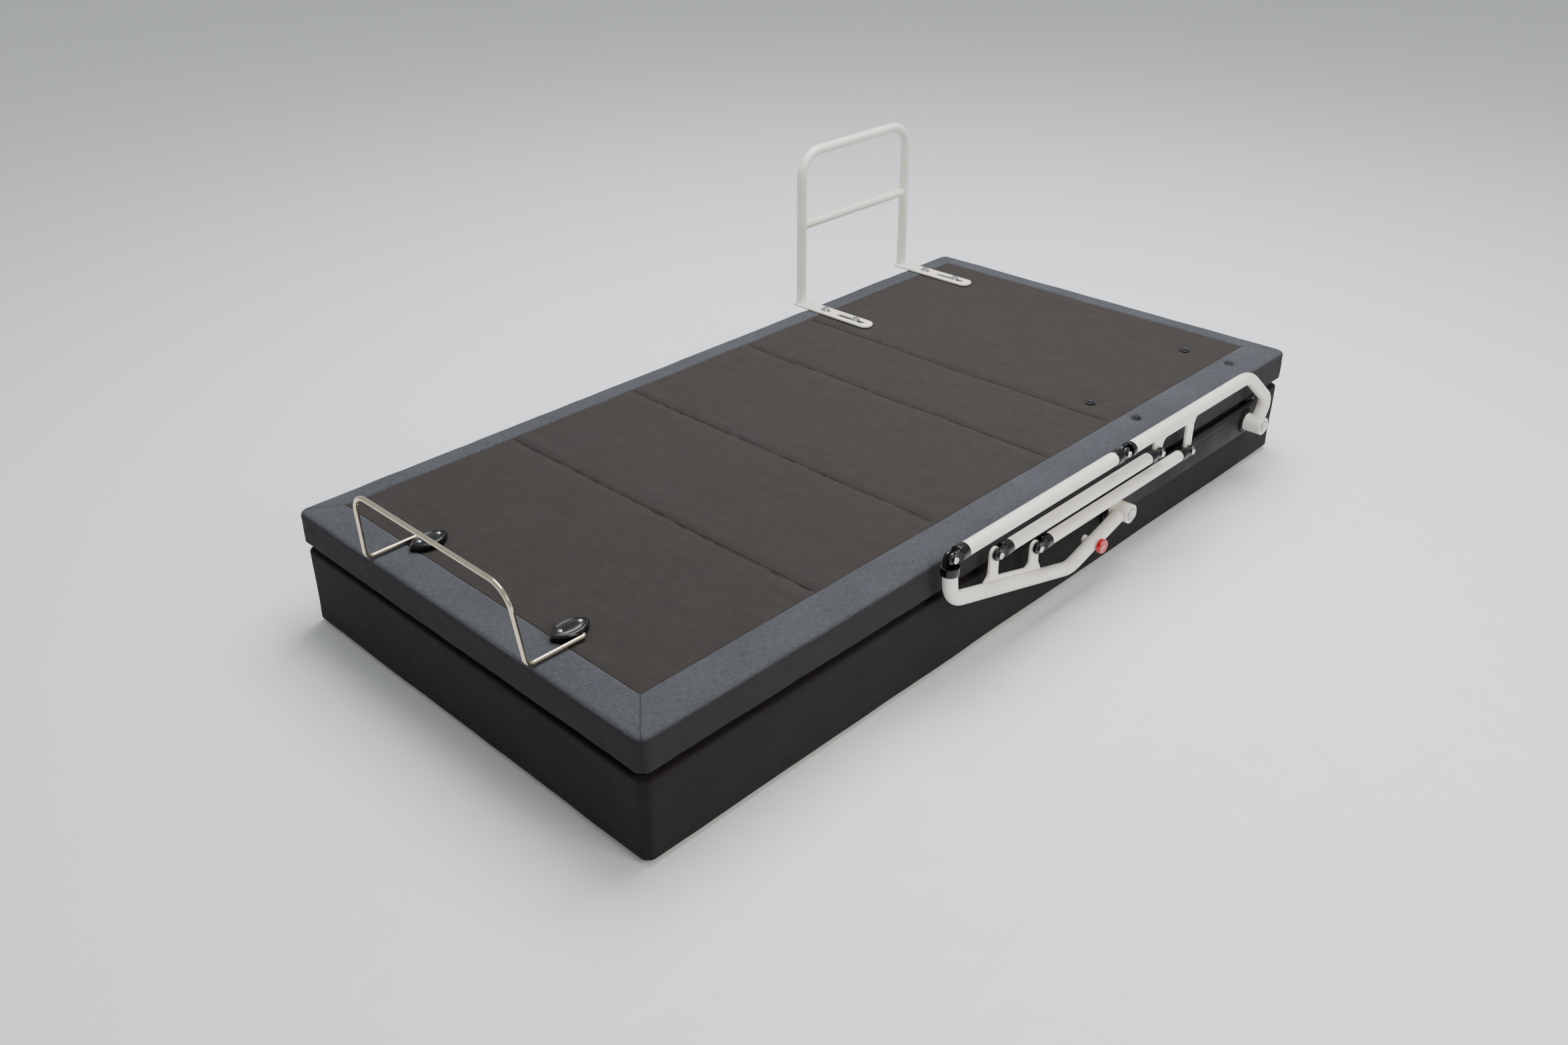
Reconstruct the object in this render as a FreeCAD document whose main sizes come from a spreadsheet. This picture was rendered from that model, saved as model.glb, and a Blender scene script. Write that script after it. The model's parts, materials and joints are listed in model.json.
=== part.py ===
import FreeCAD, Part
import math
import os
import re
import Sketcher

# Adjustable bed base, millimetres.
# +X runs from the foot end to the head end, +Y to the far long side, +Z up.
# The origin is on the floor below the centre of the lying surface.

doc = FreeCAD.newDocument("adjustable_bed_base")
sheet = doc.addObject("Spreadsheet::Sheet", "dims")

DIMENSIONS = (
    ("deck_length", 2000, "lying surface, foot end to head end"),
    ("deck_width", 1000, "lying surface, side to side"),
    ("deck_top", 252, "top of the upholstery above the floor"),
    ("deck_bottom", 186, "underside of the lying surface"),
    ("pad_thick", 11, "foam and cloth on top of each board"),
    ("board_thick", 15, "plywood board of each section"),
    ("board_corner", 17, "rounded outer corners of the boards"),
    ("border_thick", 4, "foam and cloth wrapped round the sides"),
    ("fold_knee", -525, "fold between calf and thigh sections"),
    ("fold_thigh", -195, "fold between thigh and seat sections"),
    ("fold_lumbar", 170, "fold between seat and lumbar sections"),
    ("fold_back", 393, "fold between lumbar and back sections"),
    ("valley_axis", 232, "height of the hinges that fold like a valley"),
    ("valley_gap", 8, "upholstery stops this far from a valley fold"),
    ("ridge_gap", 2, "upholstery stops this far from the knee fold"),
    ("board_gap", 15, "boards stop this far from a valley fold"),
    ("tube_wide", 25, "width of the rectangular steel tube"),
    ("tube_high", 40, "height of the rectangular steel tube"),
    ("tube_wall", 2, "wall of the rectangular steel tube"),
    ("frame_gap", 14, "frame tubes stop this far from a fold"),
    ("frame_end", 30, "frame tubes stop this far from the outer ends"),
    ("frame_side", 400, "centre line of the long frame tubes from the middle"),
    ("frame_half", 440, "half length of the cross tubes"),
    ("hinge_side", 350, "hinges from the middle"),
    ("lug_thick", 5, "steel hinge lug"),
    ("lug_radius", 8, "rounded end of a hinge lug"),
    ("lug_step", 5.5, "from one lug of a hinge to the other"),
    ("lug_deep", 20, "height of the straight part of a hinge lug"),
    ("hinge_pin", 4, "radius of a hinge pin"),
    ("pin_head", 6.5, "radius of the heads of small pins"),
    ("pin_head_thick", 2, "heads of small pins"),
    ("fit_gap", 0.06, "radial running clearance of pins"),
    ("plinth_top", 166, "top of the upholstered base box"),
    ("plinth_low", 10, "underside of the base box above the floor"),
    ("plinth_inset", 4, "base box inside the lying surface all round"),
    ("plinth_skin", 3, "foam and cloth round the base box"),
    ("plinth_board", 18, "boards of the base box"),
    ("plinth_corner", 18, "outer corner radius of the base box"),
    ("base_rail_low", 40, "underside of the steel base frame"),
    ("base_rail_half", 960, "half length of the base frame"),
    ("end_rail", 800, "outer cross rails of the steel base frame"),
    ("corner_block_long", 50, "corner blocks of the base box"),
    ("corner_block_wide", 40, "corner blocks of the base box"),
    ("glide_radius", 20, "floor glides"),
    ("glide_x", 930, "outer glides and feet along the bed"),
    ("glide_y", 455, "outer glides across the bed"),
    ("middle_foot", 40, "side of the middle foot of the steel base frame"),
    ("head_pivot_x", 0, "fixed pivot of the head actuator"),
    ("head_pivot_z", 120, "fixed pivot of the head actuator"),
    ("head_lever_x", 401.5, "moving pivot of the head actuator"),
    ("head_lever_z", 150, "moving pivot of the head actuator"),
    ("foot_pivot_x", 150, "fixed pivot of the foot actuator"),
    ("foot_pivot_z", 118, "fixed pivot of the foot actuator"),
    ("foot_lever_x", -221, "moving pivot of the foot actuator"),
    ("foot_lever_z", 128, "moving pivot of the foot actuator"),
    ("drive_side", 70, "actuators from the middle"),
    ("drive_pin", 5, "radius of the actuator and link pins"),
    ("slot_radius", 9.5, "wide hole of an opened pivot"),
    ("lever_radius", 16, "rounded end of a lever"),
    ("lever_thick", 6, "lever and bracket plates"),
    ("rod_radius", 11, "actuator push rod"),
    ("rod_neck", 36, "flat end of the push rod, pivot to round part"),
    ("rod_start", 145, "hidden end of the push rod from the fixed pivot"),
    ("barrel_radius", 18, "actuator guide tube"),
    ("barrel_start", 100, "guide tube from the fixed pivot"),
    ("barrel_short", 60, "guide tube ends this far before the moving pivot"),
    ("drive_eye", 12, "radius of the actuators' eyes and of the links' ends"),
    ("drive_eye_wide", 14, "thickness of an actuator's fixed eye"),
    ("rod_eye_wide", 12, "thickness of a push rod's eye"),
    ("rod_pin_long", 27, "pin through a lever, fixed in the push rod"),
    ("case_start", 30, "gear case from the fixed pivot"),
    ("case_long", 70, "gear case"),
    ("case_wide", 50, "gear case"),
    ("case_high", 56, "gear case"),
    ("motor_radius", 24, "motor"),
    ("motor_long", 120, "motor"),
    ("motor_start", 20, "motor from the fixed pivot"),
    ("motor_side", 50, "motor beside the gear case"),
    ("drive_pin_head", 8, "heads of the actuator and link pins"),
    ("drive_head_thick", 3, "heads of the actuator and link pins"),
    ("lever_gap", 6.5, "from an actuator's middle to a lever plate"),
    ("bracket_gap", 8, "from an actuator's middle to a bracket plate"),
    ("link_gap", 7, "from a calf link's inner face to the plate beside it"),
    ("link_pin_long", 15, "pins of the calf links"),
    ("box_x", -60, "control box along the bed"),
    ("box_y", 190, "control box across the bed"),
    ("box_long", 120, "control box"),
    ("box_wide", 150, "control box"),
    ("box_high", 45, "control box"),
    ("inlet_y", 240, "mains inlet across the bed"),
    ("inlet_deep", 14, "mains inlet"),
    ("inlet_wide", 50, "mains inlet"),
    ("inlet_high", 28, "mains inlet"),
    ("inlet_rise", 8, "mains inlet above the underside of the control box"),
    ("inlet_wall", 5, "mains inlet round its recess"),
    ("contact_radius", 1.5, "contact pins of the mains inlet"),
    ("contact_long", 7, "contact pins of the mains inlet"),
    ("contact_step", 10, "from one contact pin to the next"),
    ("link_pivot_x", -560, "fixed pivot of the calf links"),
    ("link_pivot_z", 150, "fixed pivot of the calf links"),
    ("link_far_x", -737, "calf pivot of the calf links"),
    ("link_far_z", 155, "calf pivot of the calf links"),
    ("link_side", 300, "calf links from the middle"),
    ("handle_foot_x", 452, "foot-side post of the assist handle"),
    ("handle_head_x", 850, "head-side post of the assist handle"),
    ("handle_y", 532, "plane of the assist handle"),
    ("handle_top", 652, "top of the assist handle"),
    ("handle_bar_z", 459, "middle bar of the assist handle"),
    ("handle_radius", 12.5, "tube of the assist handle"),
    ("handle_bar_radius", 11, "middle bar of the assist handle"),
    ("handle_bend", 60, "bend of the assist handle"),
    ("plate_wide", 40, "foot plates of the assist handle"),
    ("plate_thick", 6, "foot plates of the assist handle"),
    ("plate_tip", 300, "rounded inner end of the foot plates"),
    ("plate_end", 545, "outer end of the foot plates"),
    ("handle_outer_bolt", 449, "outer bolts of the assist handle"),
    ("handle_inner_bolt", 350, "inner bolts of the assist handle"),
    ("plate_slot", 6.5, "half width of the slots in the foot plates"),
    ("bolt_radius", 4, "bolts through the lying surface"),
    ("bolt_hole", 4.5, "holes for those bolts"),
    ("bolt_head", 7, "radius of the domed heads of those bolts"),
    ("bolt_head_high", 4, "heads of those bolts"),
    ("nut_radius", 7.5, "nuts of those bolts"),
    ("nut_high", 8, "nuts of those bolts"),
    ("washer_radius", 11, "washers of those bolts"),
    ("washer_thick", 2, "washers of those bolts"),
    ("wire_radius", 4.5, "bent rod of the mattress retainer"),
    ("wire_side", 236, "legs of the retainer from the middle"),
    ("wire_top_side", 222, "top corners of the retainer from the middle"),
    ("wire_axis_x", -887, "hinge line of the retainer"),
    ("wire_axis_z", 258.5, "hinge line of the retainer"),
    ("wire_end_x", -1006, "where the retainer turns upwards"),
    ("wire_top_x", -1020, "top bar of the retainer"),
    ("wire_top_z", 404, "top bar of the retainer"),
    ("clip_long", 80, "retainer clips, along the bed"),
    ("clip_wide", 47, "retainer clips, across the bed"),
    ("clip_high", 14, "retainer clips, thickness"),
    ("clip_side", 205.5, "middle of a clip from the middle of the bed"),
    ("clip_x", -894, "middle of a clip along the bed"),
    ("clip_bore_deep", 12, "bore of a clip past its middle"),
    ("clip_screw_foot", 20, "foot-side screw from the middle of a clip"),
    ("clip_screw_head", 22, "head-side screw from the middle of a clip"),
    ("screw_radius", 2, "screws of the clips"),
    ("screw_head", 4.5, "heads of those screws"),
    ("screw_head_high", 2, "heads of those screws"),
    ("rail_plane", -533, "plane of the folding side rail"),
    ("rail_foot_x", 266, "foot-side pivot of the side rail"),
    ("rail_link", 555, "distance between the two pivots"),
    ("rail_pivot_z", 136, "pivots of the side rail"),
    ("post_radius", 14, "posts and top rail"),
    ("post_wall", 1.5, "wall of the round tubes"),
    ("rail_radius", 12.5, "middle and low rails"),
    ("boss_radius", 20, "pivot boss of a post"),
    ("boss_inner", -513, "inner face of a boss"),
    ("boss_outer", -553, "outer face of a boss"),
    ("pivot_bolt", 8, "radius of the side rail's pivot bolts"),
    ("pivot_cap", 13, "radius of the caps on those bolts"),
    ("joint_pin", 4, "radius of the pins at the rail ends"),
    ("ear_inner", -532, "outer face of the ear plates on the posts"),
    ("ear_thick", 6, "ear plates on the posts"),
    ("eye_radius", 12.5, "rounded ends at the rail joints"),
    ("fitting_long", 40, "end fitting, joint to tube"),
    ("fitting_root", 16, "collar of an end fitting from its joint"),
    ("fitting_wall", 1.5, "end fittings outside the tubes"),
    ("fitting_gap", 1.5, "from an ear plate to the fitting in front of it"),
    ("fitting_thick", 8, "eye of an end fitting"),
    ("joint_cap", 3, "heads of the pins at the rail ends"),
    ("carrier_low", 105, "lower edge of the side rail carrier"),
    ("carrier_high", 178, "upper edge of the side rail carrier"),
    ("carrier_inner", -503, "inner face of the carrier"),
    ("carrier_thick", 6, "carrier bar"),
    ("carrier_past", 32, "carrier bar beyond the pivots"),
    ("carrier_flange", 28, "round flange at each pivot"),
    ("flange_gap", 0.4, "from a boss to the flange behind it"),
    ("arm_wide", 40, "arms of the carrier"),
    ("arm_high", 12, "arms of the carrier"),
    ("arm_end", -300, "inner ends of the arms"),
    ("arm_foot_x", 449, "foot-side arm of the carrier"),
    ("arm_head_x", 844, "head-side arm of the carrier"),
    ("arm_outer_bolt", -439, "outer bolts of the arms"),
    ("arm_inner_bolt", -327, "inner bolts of the arms"),
    ("knob_x", 162, "release knob along the bed"),
    ("knob_radius", 15, "release knob"),
    ("knob_thick", 10, "release knob"),
    ("knob_gap", 3, "from the post to the release knob"),
    ("knob_screw", 4, "recess for the screw of the knob"),
    ("housing_radius", 9, "housing of the lock pin behind the post"),
    ("housing_long", 6, "housing of the lock pin behind the post"),
    ("lock_pin_long", 36, "lock pin"),
)

for row, (word, number, meaning) in enumerate(DIMENSIONS, 1):
    sheet.set(f"A{row}", word)
    sheet.set(f"B{row}", str(number))
    sheet.set(f"C{row}", meaning)
    sheet.setAlias(f"B{row}", word)
doc.recompute()

WORDS = {word for word, number, meaning in DIMENSIONS}
NODES = []


def val(formula):
    """Number that a formula over the sheet's words gives."""
    found = {word: float(sheet.get(word)) for word in re.findall(r"[a-z_]+", str(formula)) if word in WORDS}
    text = re.sub(r"[a-z_]+", lambda m: "(%r)" % found[m.group(0)] if m.group(0) in found else m.group(0),
                  str(formula))
    return FreeCAD.Units.Quantity(text).Value


def bind(item, prop, formula):
    """Bind a property to a formula over the sheet's words."""
    text = re.sub(r"[a-z_]+", lambda m: "dims." + m.group(0) if m.group(0) in WORDS else m.group(0),
                  str(formula))
    item.setExpression(prop, text)


def place(item, start):
    """Bind a placement's base to three formulas."""
    for axis, formula in zip("xyz", start):
        bind(item, f"Placement.Base.{axis}", formula)
    return item


def block(start, size):
    """Rectangular block from its low corner and its three sizes."""
    item = doc.addObject("Part::Box", "block")
    for prop, formula in zip(("Length", "Width", "Height"), size):
        bind(item, prop, formula)
    return place(item, start)


TURNS = {
    "x": FreeCAD.Rotation(FreeCAD.Vector(0, 1, 0), 90),
    "y": FreeCAD.Rotation(FreeCAD.Vector(1, 0, 0), -90),
    "z": FreeCAD.Rotation(),
}


def bar(start, axis, radius, length):
    """Round bar from the centre of its low end along x, y or z."""
    item = doc.addObject("Part::Cylinder", "bar")
    item.Placement = FreeCAD.Placement(FreeCAD.Vector(), TURNS[axis])
    bind(item, "Radius", radius)
    bind(item, "Height", length)
    return place(item, start)


def cut(base, tool):
    """First shape without the second."""
    item = doc.addObject("Part::Cut", "cut")
    item.Base = base
    item.Tool = tool
    return item


def fuse(pieces):
    """One welded or moulded piece."""
    item = doc.addObject("Part::MultiFuse", "fuse")
    item.Shapes = pieces
    return item


def group(pieces):
    """Several separate solids that belong to one sub-part."""
    item = doc.addObject("Part::Compound", "group")
    item.Links = pieces
    return item


def drill(base, holes):
    """Shape with holes, each a bar."""
    return cut(base, holes[0] if len(holes) == 1 else group(holes))


def node(label, item):
    """Name a sub-part."""
    item.Label = label
    NODES.append(item)
    return item


def box_tube(start, size, axis):
    """Rectangular hollow tube that runs along x, y or z."""
    inner_start = []
    inner_size = []
    for name, low, full in zip("xyz", start, size):
        along = name == axis
        inner_start.append(low if along else f"{low} + tube_wall")
        inner_size.append(full if along else f"{full} - 2 * tube_wall")
    return cut(block(start, size), block(inner_start, inner_size))


def corner_arc(before, corner, after, bend):
    """Ends and centre of the round that replaces a corner, in any plane."""
    way_in = (before - corner).normalize()
    way_out = (after - corner).normalize()
    half = way_in.getAngle(way_out) / 2
    middle = (way_in + way_out).normalize()
    reach = bend / math.tan(half)
    centre = corner + middle * (bend / math.sin(half))
    return corner + way_in * reach, centre - middle * bend, corner + way_out * reach, centre


def draw_outline(sketch, points):
    """Closed outline of straight sides whose corners (u, v, bend) are rounded."""
    corners = [(FreeCAD.Vector(u, v, 0), bend) for u, v, bend in points]
    ends = []
    for index, (corner, bend) in enumerate(corners):
        before = corners[index - 1][0]
        after = corners[(index + 1) % len(corners)][0]
        if bend == 0:
            ends.append((corner, corner))
            continue
        first, middle, last, centre = corner_arc(before, corner, after, bend)
        low = math.atan2(first.y - centre.y, first.x - centre.x)
        high = math.atan2(last.y - centre.y, last.x - centre.x)
        turn = (first - centre).cross(last - centre).z
        if turn < 0:
            low, high = high, low
        circle = Part.Circle(centre, FreeCAD.Vector(0, 0, 1), bend)
        sketch.addGeometry(Part.ArcOfCircle(circle, low, high))
        ends.append((first, last))
    for index, (first, last) in enumerate(ends):
        nearest = ends[(index + 1) % len(ends)][0]
        if (nearest - last).Length > 1e-6:
            sketch.addGeometry(Part.LineSegment(last, nearest))


def plate(role, outlines, holes, thick, start):
    """Flat piece padded from a sketch; holes are (u, v, radius word)."""
    body = doc.addObject("PartDesign::Body", "plate")
    plane = [item for item in body.Origin.OriginFeatures if item.Role == role][0]
    sketch = body.newObject("Sketcher::SketchObject", "outline")
    sketch.AttachmentSupport = [(plane, "")]
    sketch.MapMode = "FlatFace"
    for points in outlines:
        draw_outline(sketch, points)
    for u, v, radius in holes:
        circle = Part.Circle(FreeCAD.Vector(u, v, 0), FreeCAD.Vector(0, 0, 1), val(radius))
        index = sketch.addGeometry(circle)
        rule = sketch.addConstraint(Sketcher.Constraint("Radius", index, val(radius)))
        bind(sketch, f"Constraints[{rule}]", radius)
    pad = body.newObject("PartDesign::Pad", "thickness")
    pad.Profile = sketch
    bind(pad, "Length", thick)
    return place(body, start)


def upright_plate(outline, holes, thick, low_y):
    """Plate in a plane across the bed's width, from its low y face; outline in x and z."""
    return plate("XZ_Plane", [outline], holes, thick, (0, f"{low_y} + {thick}", 0))


def bent_line(points, bends):
    """Line of straight runs joined by tangent arcs."""
    corners = [FreeCAD.Vector(*[val(part) for part in point]) for point in points]
    edges = []
    last = corners[0]
    for index, bend in enumerate(bends, 1):
        first, middle, after, centre = corner_arc(corners[index - 1], corners[index], corners[index + 1], bend)
        edges.append(Part.LineSegment(last, first).toShape())
        edges.append(Part.Arc(first, middle, after).toShape())
        last = after
    edges.append(Part.LineSegment(last, corners[-1]).toShape())
    item = doc.addObject("Part::Feature", "line")
    item.Shape = Part.Wire(edges)
    return item


def swept(line, radius):
    """Round section carried along a bent line."""
    first = line.Shape.Edges[0]
    heading = first.tangentAt(first.FirstParameter)
    section = doc.addObject("Part::Circle", "section")
    bind(section, "Radius", radius)
    turn = FreeCAD.Rotation(FreeCAD.Vector(0, 0, 1), heading)
    section.Placement = FreeCAD.Placement(first.valueAt(first.FirstParameter), turn)
    item = doc.addObject("Part::Sweep", "swept")
    item.Sections = [section]
    item.Spine = (line, [f"Edge{count + 1}" for count in range(len(line.Shape.Edges))])
    item.Solid = True
    item.Frenet = False
    return item


# ---------------------------------------------------------------- lying surface
# Five sections in a row. Each has a steel frame, a plywood board and its
# upholstery: a pad on top and strips round the sides.

SECTIONS = (
    ("calf", "-deck_length / 2", "fold_knee", "end", "ridge"),
    ("thigh", "fold_knee", "fold_thigh", "ridge", "valley"),
    ("seat", "fold_thigh", "fold_lumbar", "valley", "valley"),
    ("lumbar", "fold_lumbar", "fold_back", "valley", "valley"),
    ("back", "fold_back", "deck_length / 2", "valley", "end"),
)
PAD_GAP = {"end": "0", "ridge": "ridge_gap", "valley": "valley_gap"}
BOARD_GAP = {"end": "border_thick", "ridge": "ridge_gap", "valley": "board_gap"}
FRAME_GAP = {"end": "frame_end", "ridge": "frame_gap", "valley": "frame_gap"}
DECK_HALF = "deck_width / 2"
BOARD_TOP = "deck_top - pad_thick"
BOARD_LOW = "deck_top - pad_thick - board_thick"
HANDLE_BOLTS = [(x, y) for x in ("handle_foot_x", "handle_head_x")
                for y in ("handle_outer_bolt", "handle_inner_bolt")]
CARRIER_BOLTS = [(x, y) for x in ("arm_foot_x", "arm_head_x") for y in ("arm_outer_bolt", "arm_inner_bolt")]


def deck_holes():
    """Holes for the bolts that go down through the back section."""
    deep = "deck_top - deck_bottom + 2"
    return [bar((x, y, "deck_bottom - 1"), "z", "bolt_hole", deep) for x, y in HANDLE_BOLTS + CARRIER_BOLTS]


def cover(name, low, high, low_end, high_end):
    """Upholstery of one section: a pad, two side strips and any end strip.
    The washers of the side rail's bolts sink into the pad of the back section."""
    start = f"{low} + {PAD_GAP[low_end]}"
    length = f"({high} - {PAD_GAP[high_end]}) - ({start})"
    strip = f"({BOARD_TOP}) - deck_bottom"
    pad = block((start, f"-{DECK_HALF}", BOARD_TOP), (length, "deck_width", "pad_thick"))
    if name == "back":
        sunk = [bar((x, y, "deck_top - washer_thick"), "z", "washer_radius + 0.3", "washer_thick + 1")
                for x, y in CARRIER_BOLTS]
        pad = drill(pad, deck_holes() + sunk)
    pieces = [pad]
    for side in (f"-{DECK_HALF}", f"{DECK_HALF} - border_thick"):
        pieces.append(block((start, side, "deck_bottom"), (length, "border_thick", strip)))
    inner = f"-{DECK_HALF} + border_thick"
    across = "deck_width - 2 * border_thick"
    if low_end == "end":
        pieces.append(block((start, inner, "deck_bottom"), ("border_thick", across, strip)))
    if high_end == "end":
        pieces.append(block((f"{high} - border_thick", inner, "deck_bottom"), ("border_thick", across, strip)))
    return node(f"{name}_cover", group(pieces))


def board(name, low, high, low_end, high_end):
    """Plywood board of one section."""
    start = val(f"{low} + {BOARD_GAP[low_end]}")
    last = val(f"{high} - {BOARD_GAP[high_end]}")
    side = val(f"{DECK_HALF} - border_thick")
    bend = val("board_corner")
    low_bend = bend if low_end == "end" else 0
    high_bend = bend if high_end == "end" else 0
    outline = [(start, -side, low_bend), (last, -side, high_bend),
               (last, side, high_bend), (start, side, low_bend)]
    piece = plate("XY_Plane", [outline], [], "board_thick", (0, 0, BOARD_LOW))
    if name == "back":
        piece = drill(piece, deck_holes())
    return node(f"{name}_board", piece)


def lug(fold, axis_z, toward, side, step, below):
    """Hinge lug from the fold's axis to the frame tube; toward is -1 or +1."""
    low_y = f"{side} + {step}"
    reach = f"{fold} - frame_gap" if toward < 0 else fold
    foot_z = f"{axis_z} - lug_deep" if below else axis_z
    eye = bar((fold, low_y, axis_z), "y", "lug_radius", "lug_thick")
    foot = block((reach, low_y, foot_z), ("frame_gap", "lug_thick", "lug_deep"))
    hole = bar((fold, f"{low_y} - 1", axis_z), "y", "hinge_pin + fit_gap", "lug_thick + 2")
    return cut(fuse([eye, foot]), hole)


HINGES = {
    "calf": (None, ("fold_knee", "deck_bottom", "lug_step", False)),
    "thigh": (("fold_knee", "deck_bottom", "0", False), ("fold_thigh", "valley_axis", "lug_step", True)),
    "seat": (("fold_thigh", "valley_axis", "0", True), ("fold_lumbar", "valley_axis", "0", True)),
    "lumbar": (("fold_lumbar", "valley_axis", "lug_step", True), ("fold_back", "valley_axis", "0", True)),
    "back": (("fold_back", "valley_axis", "lug_step", True), None),
}


LINK_SIDES = ("-link_side", "link_side")
LEVER_STEPS = ("-lever_gap - lever_thick", "lever_gap")
# Cross tubes beside a valley fold are square and stay high, clear of the drives.
VALLEY_LOW = "deck_bottom + tube_high - tube_wide"


def lever(x, z, low_y, top):
    """Plate that hangs from a section's frame, with a wide hole for a drive's or link's pin."""
    eye = bar((x, low_y, z), "y", "lever_radius", "lever_thick")
    leg = block((f"{x} - lever_radius", low_y, z), ("2 * lever_radius", "lever_thick", f"{top} - {z}"))
    hole = bar((x, f"{low_y} - 1", z), "y", "slot_radius", "lever_thick + 2")
    return cut(fuse([eye, leg]), hole)


LEVERS = {
    "calf": [("link_far_x", "link_far_z", f"{side} + link_gap", "deck_bottom") for side in LINK_SIDES],
    "thigh": [("foot_lever_x", "foot_lever_z", f"-drive_side + {step}", VALLEY_LOW) for step in LEVER_STEPS],
    "back": [("head_lever_x", "head_lever_z", f"drive_side + {step}", VALLEY_LOW) for step in LEVER_STEPS],
}


def frame(name, low, high, low_end, high_end):
    """Steel frame: two cross tubes, two long tubes and hinge lugs."""
    start = f"{low} + {FRAME_GAP[low_end]}"
    last = f"{high} - {FRAME_GAP[high_end]} - tube_wide"
    pieces = []
    for x, kind in ((start, low_end), (last, high_end)):
        tube_z = VALLEY_LOW if kind == "valley" else "deck_bottom"
        tall = "tube_wide" if kind == "valley" else "tube_high"
        pieces.append(box_tube((x, "-frame_half", tube_z), ("tube_wide", "2 * frame_half", tall), "y"))
    between = f"({last}) - ({start}) - tube_wide"
    for side in ("-frame_side", "frame_side"):
        where = (f"{start} + tube_wide", f"{side} - tube_wide / 2", "deck_bottom")
        pieces.append(box_tube(where, (between, "tube_wide", "tube_high"), "x"))
    if name == "calf":
        middle = ("link_far_x - tube_wide / 2", "-frame_side + tube_wide / 2", "deck_bottom")
        pieces.append(box_tube(middle, ("tube_wide", "2 * frame_side - tube_wide", "tube_high"), "y"))
    pieces += [lever(*where) for where in LEVERS.get(name, [])]
    for toward, hinge in zip((1, -1), HINGES[name]):
        if hinge:
            fold, axis_z, step, below = hinge
            for side in ("-hinge_side", "hinge_side"):
                pieces.append(lug(fold, axis_z, toward, side, step, below))
    return node(f"{name}_frame", group(pieces))


def headed_pin(x, y, z, radius, length, head, head_thick):
    """Pin along y with a head at its low y end."""
    shaft = bar((x, y, z), "y", radius, length)
    cap = bar((x, f"{y} - {head_thick}", z), "y", head, head_thick)
    return fuse([shaft, cap])


def hinge_pins(label, folds):
    """Pins of the hinges along some folds."""
    pins = []
    for fold, axis_z in folds:
        for side in ("-hinge_side", "hinge_side"):
            long = "lug_step + lug_thick + pin_head_thick"
            pins.append(headed_pin(fold, side, axis_z, "hinge_pin", long, "pin_head", "pin_head_thick"))
    return node(label, group(pins))


for section in SECTIONS:
    cover(*section)
    board(*section)
    frame(*section)
hinge_pins("seat_hinge_pins", (("fold_thigh", "valley_axis"), ("fold_lumbar", "valley_axis")))
hinge_pins("knee_hinge_pins", (("fold_knee", "deck_bottom"),))
hinge_pins("back_hinge_pins", (("fold_back", "valley_axis"),))


# ---------------------------------------------------------------- base box
# Four boards with corner blocks inside and one wrapped skin outside, round a
# welded steel frame that carries the seat section and the drives.

SKIN_X = "deck_length / 2 - plinth_inset"
SKIN_Y = "deck_width / 2 - plinth_inset"
WALL_X = f"{SKIN_X} - plinth_skin"
WALL_Y = f"{SKIN_Y} - plinth_skin"
WALL_HIGH = "plinth_top - plinth_low"


def rounded_rectangle(half_x, half_y, bend):
    """Corners of a rounded rectangle about the middle."""
    return [(u * half_x, v * half_y, bend) for u, v in ((-1, -1), (1, -1), (1, 1), (-1, 1))]


outer = rounded_rectangle(val(SKIN_X), val(SKIN_Y), val("plinth_corner"))
inner = rounded_rectangle(val(WALL_X), val(WALL_Y), val("plinth_corner - plinth_skin"))
node("plinth_cover", plate("XY_Plane", [outer, inner], [], WALL_HIGH, (0, 0, "plinth_low")))
boards = []
for low in (f"-({WALL_Y})", f"{WALL_Y} - plinth_board"):
    length = f"2 * ({WALL_X} - plinth_corner)"
    size = (length, "plinth_board", WALL_HIGH)
    boards.append(block((f"-({WALL_X} - plinth_corner)", low, "plinth_low"), size))
node("plinth_side_boards", group(boards))
boards = []
for low in (f"-({WALL_X})", f"{WALL_X} - plinth_board"):
    width = f"2 * ({WALL_Y} - plinth_board)"
    boards.append(block((low, f"-({WALL_Y} - plinth_board)", "plinth_low"), ("plinth_board", width, WALL_HIGH)))
node("plinth_end_boards", group(boards))

blocks = []
for side_x in (-1, 1):
    for side_y in (-1, 1):
        low_x = f"-({WALL_X} - plinth_board)"
        low_y = f"-({WALL_Y} - plinth_board)"
        if side_x > 0:
            low_x = f"{WALL_X} - plinth_board - corner_block_long"
        if side_y > 0:
            low_y = f"{WALL_Y} - plinth_board - corner_block_wide"
        size = ("corner_block_long", "corner_block_wide", WALL_HIGH)
        blocks.append(block((low_x, low_y, "plinth_low"), size))
node("plinth_corner_blocks", group(blocks))

glides = []
for x in ("-glide_x", "0", "glide_x"):
    for y in ("-glide_y", "0", "glide_y"):
        if x == "0" or y != "0":
            glides.append(bar((x, y, 0), "z", "glide_radius", "plinth_low"))
node("floor_glides", group(glides))

RAIL_SIZE = ("2 * base_rail_half", "tube_wide", "tube_high")
frame_parts = []
for side in ("-frame_side", "frame_side"):
    start = ("-base_rail_half", f"{side} - tube_wide / 2", "base_rail_low")
    frame_parts.append(box_tube(start, RAIL_SIZE, "x"))

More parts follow.
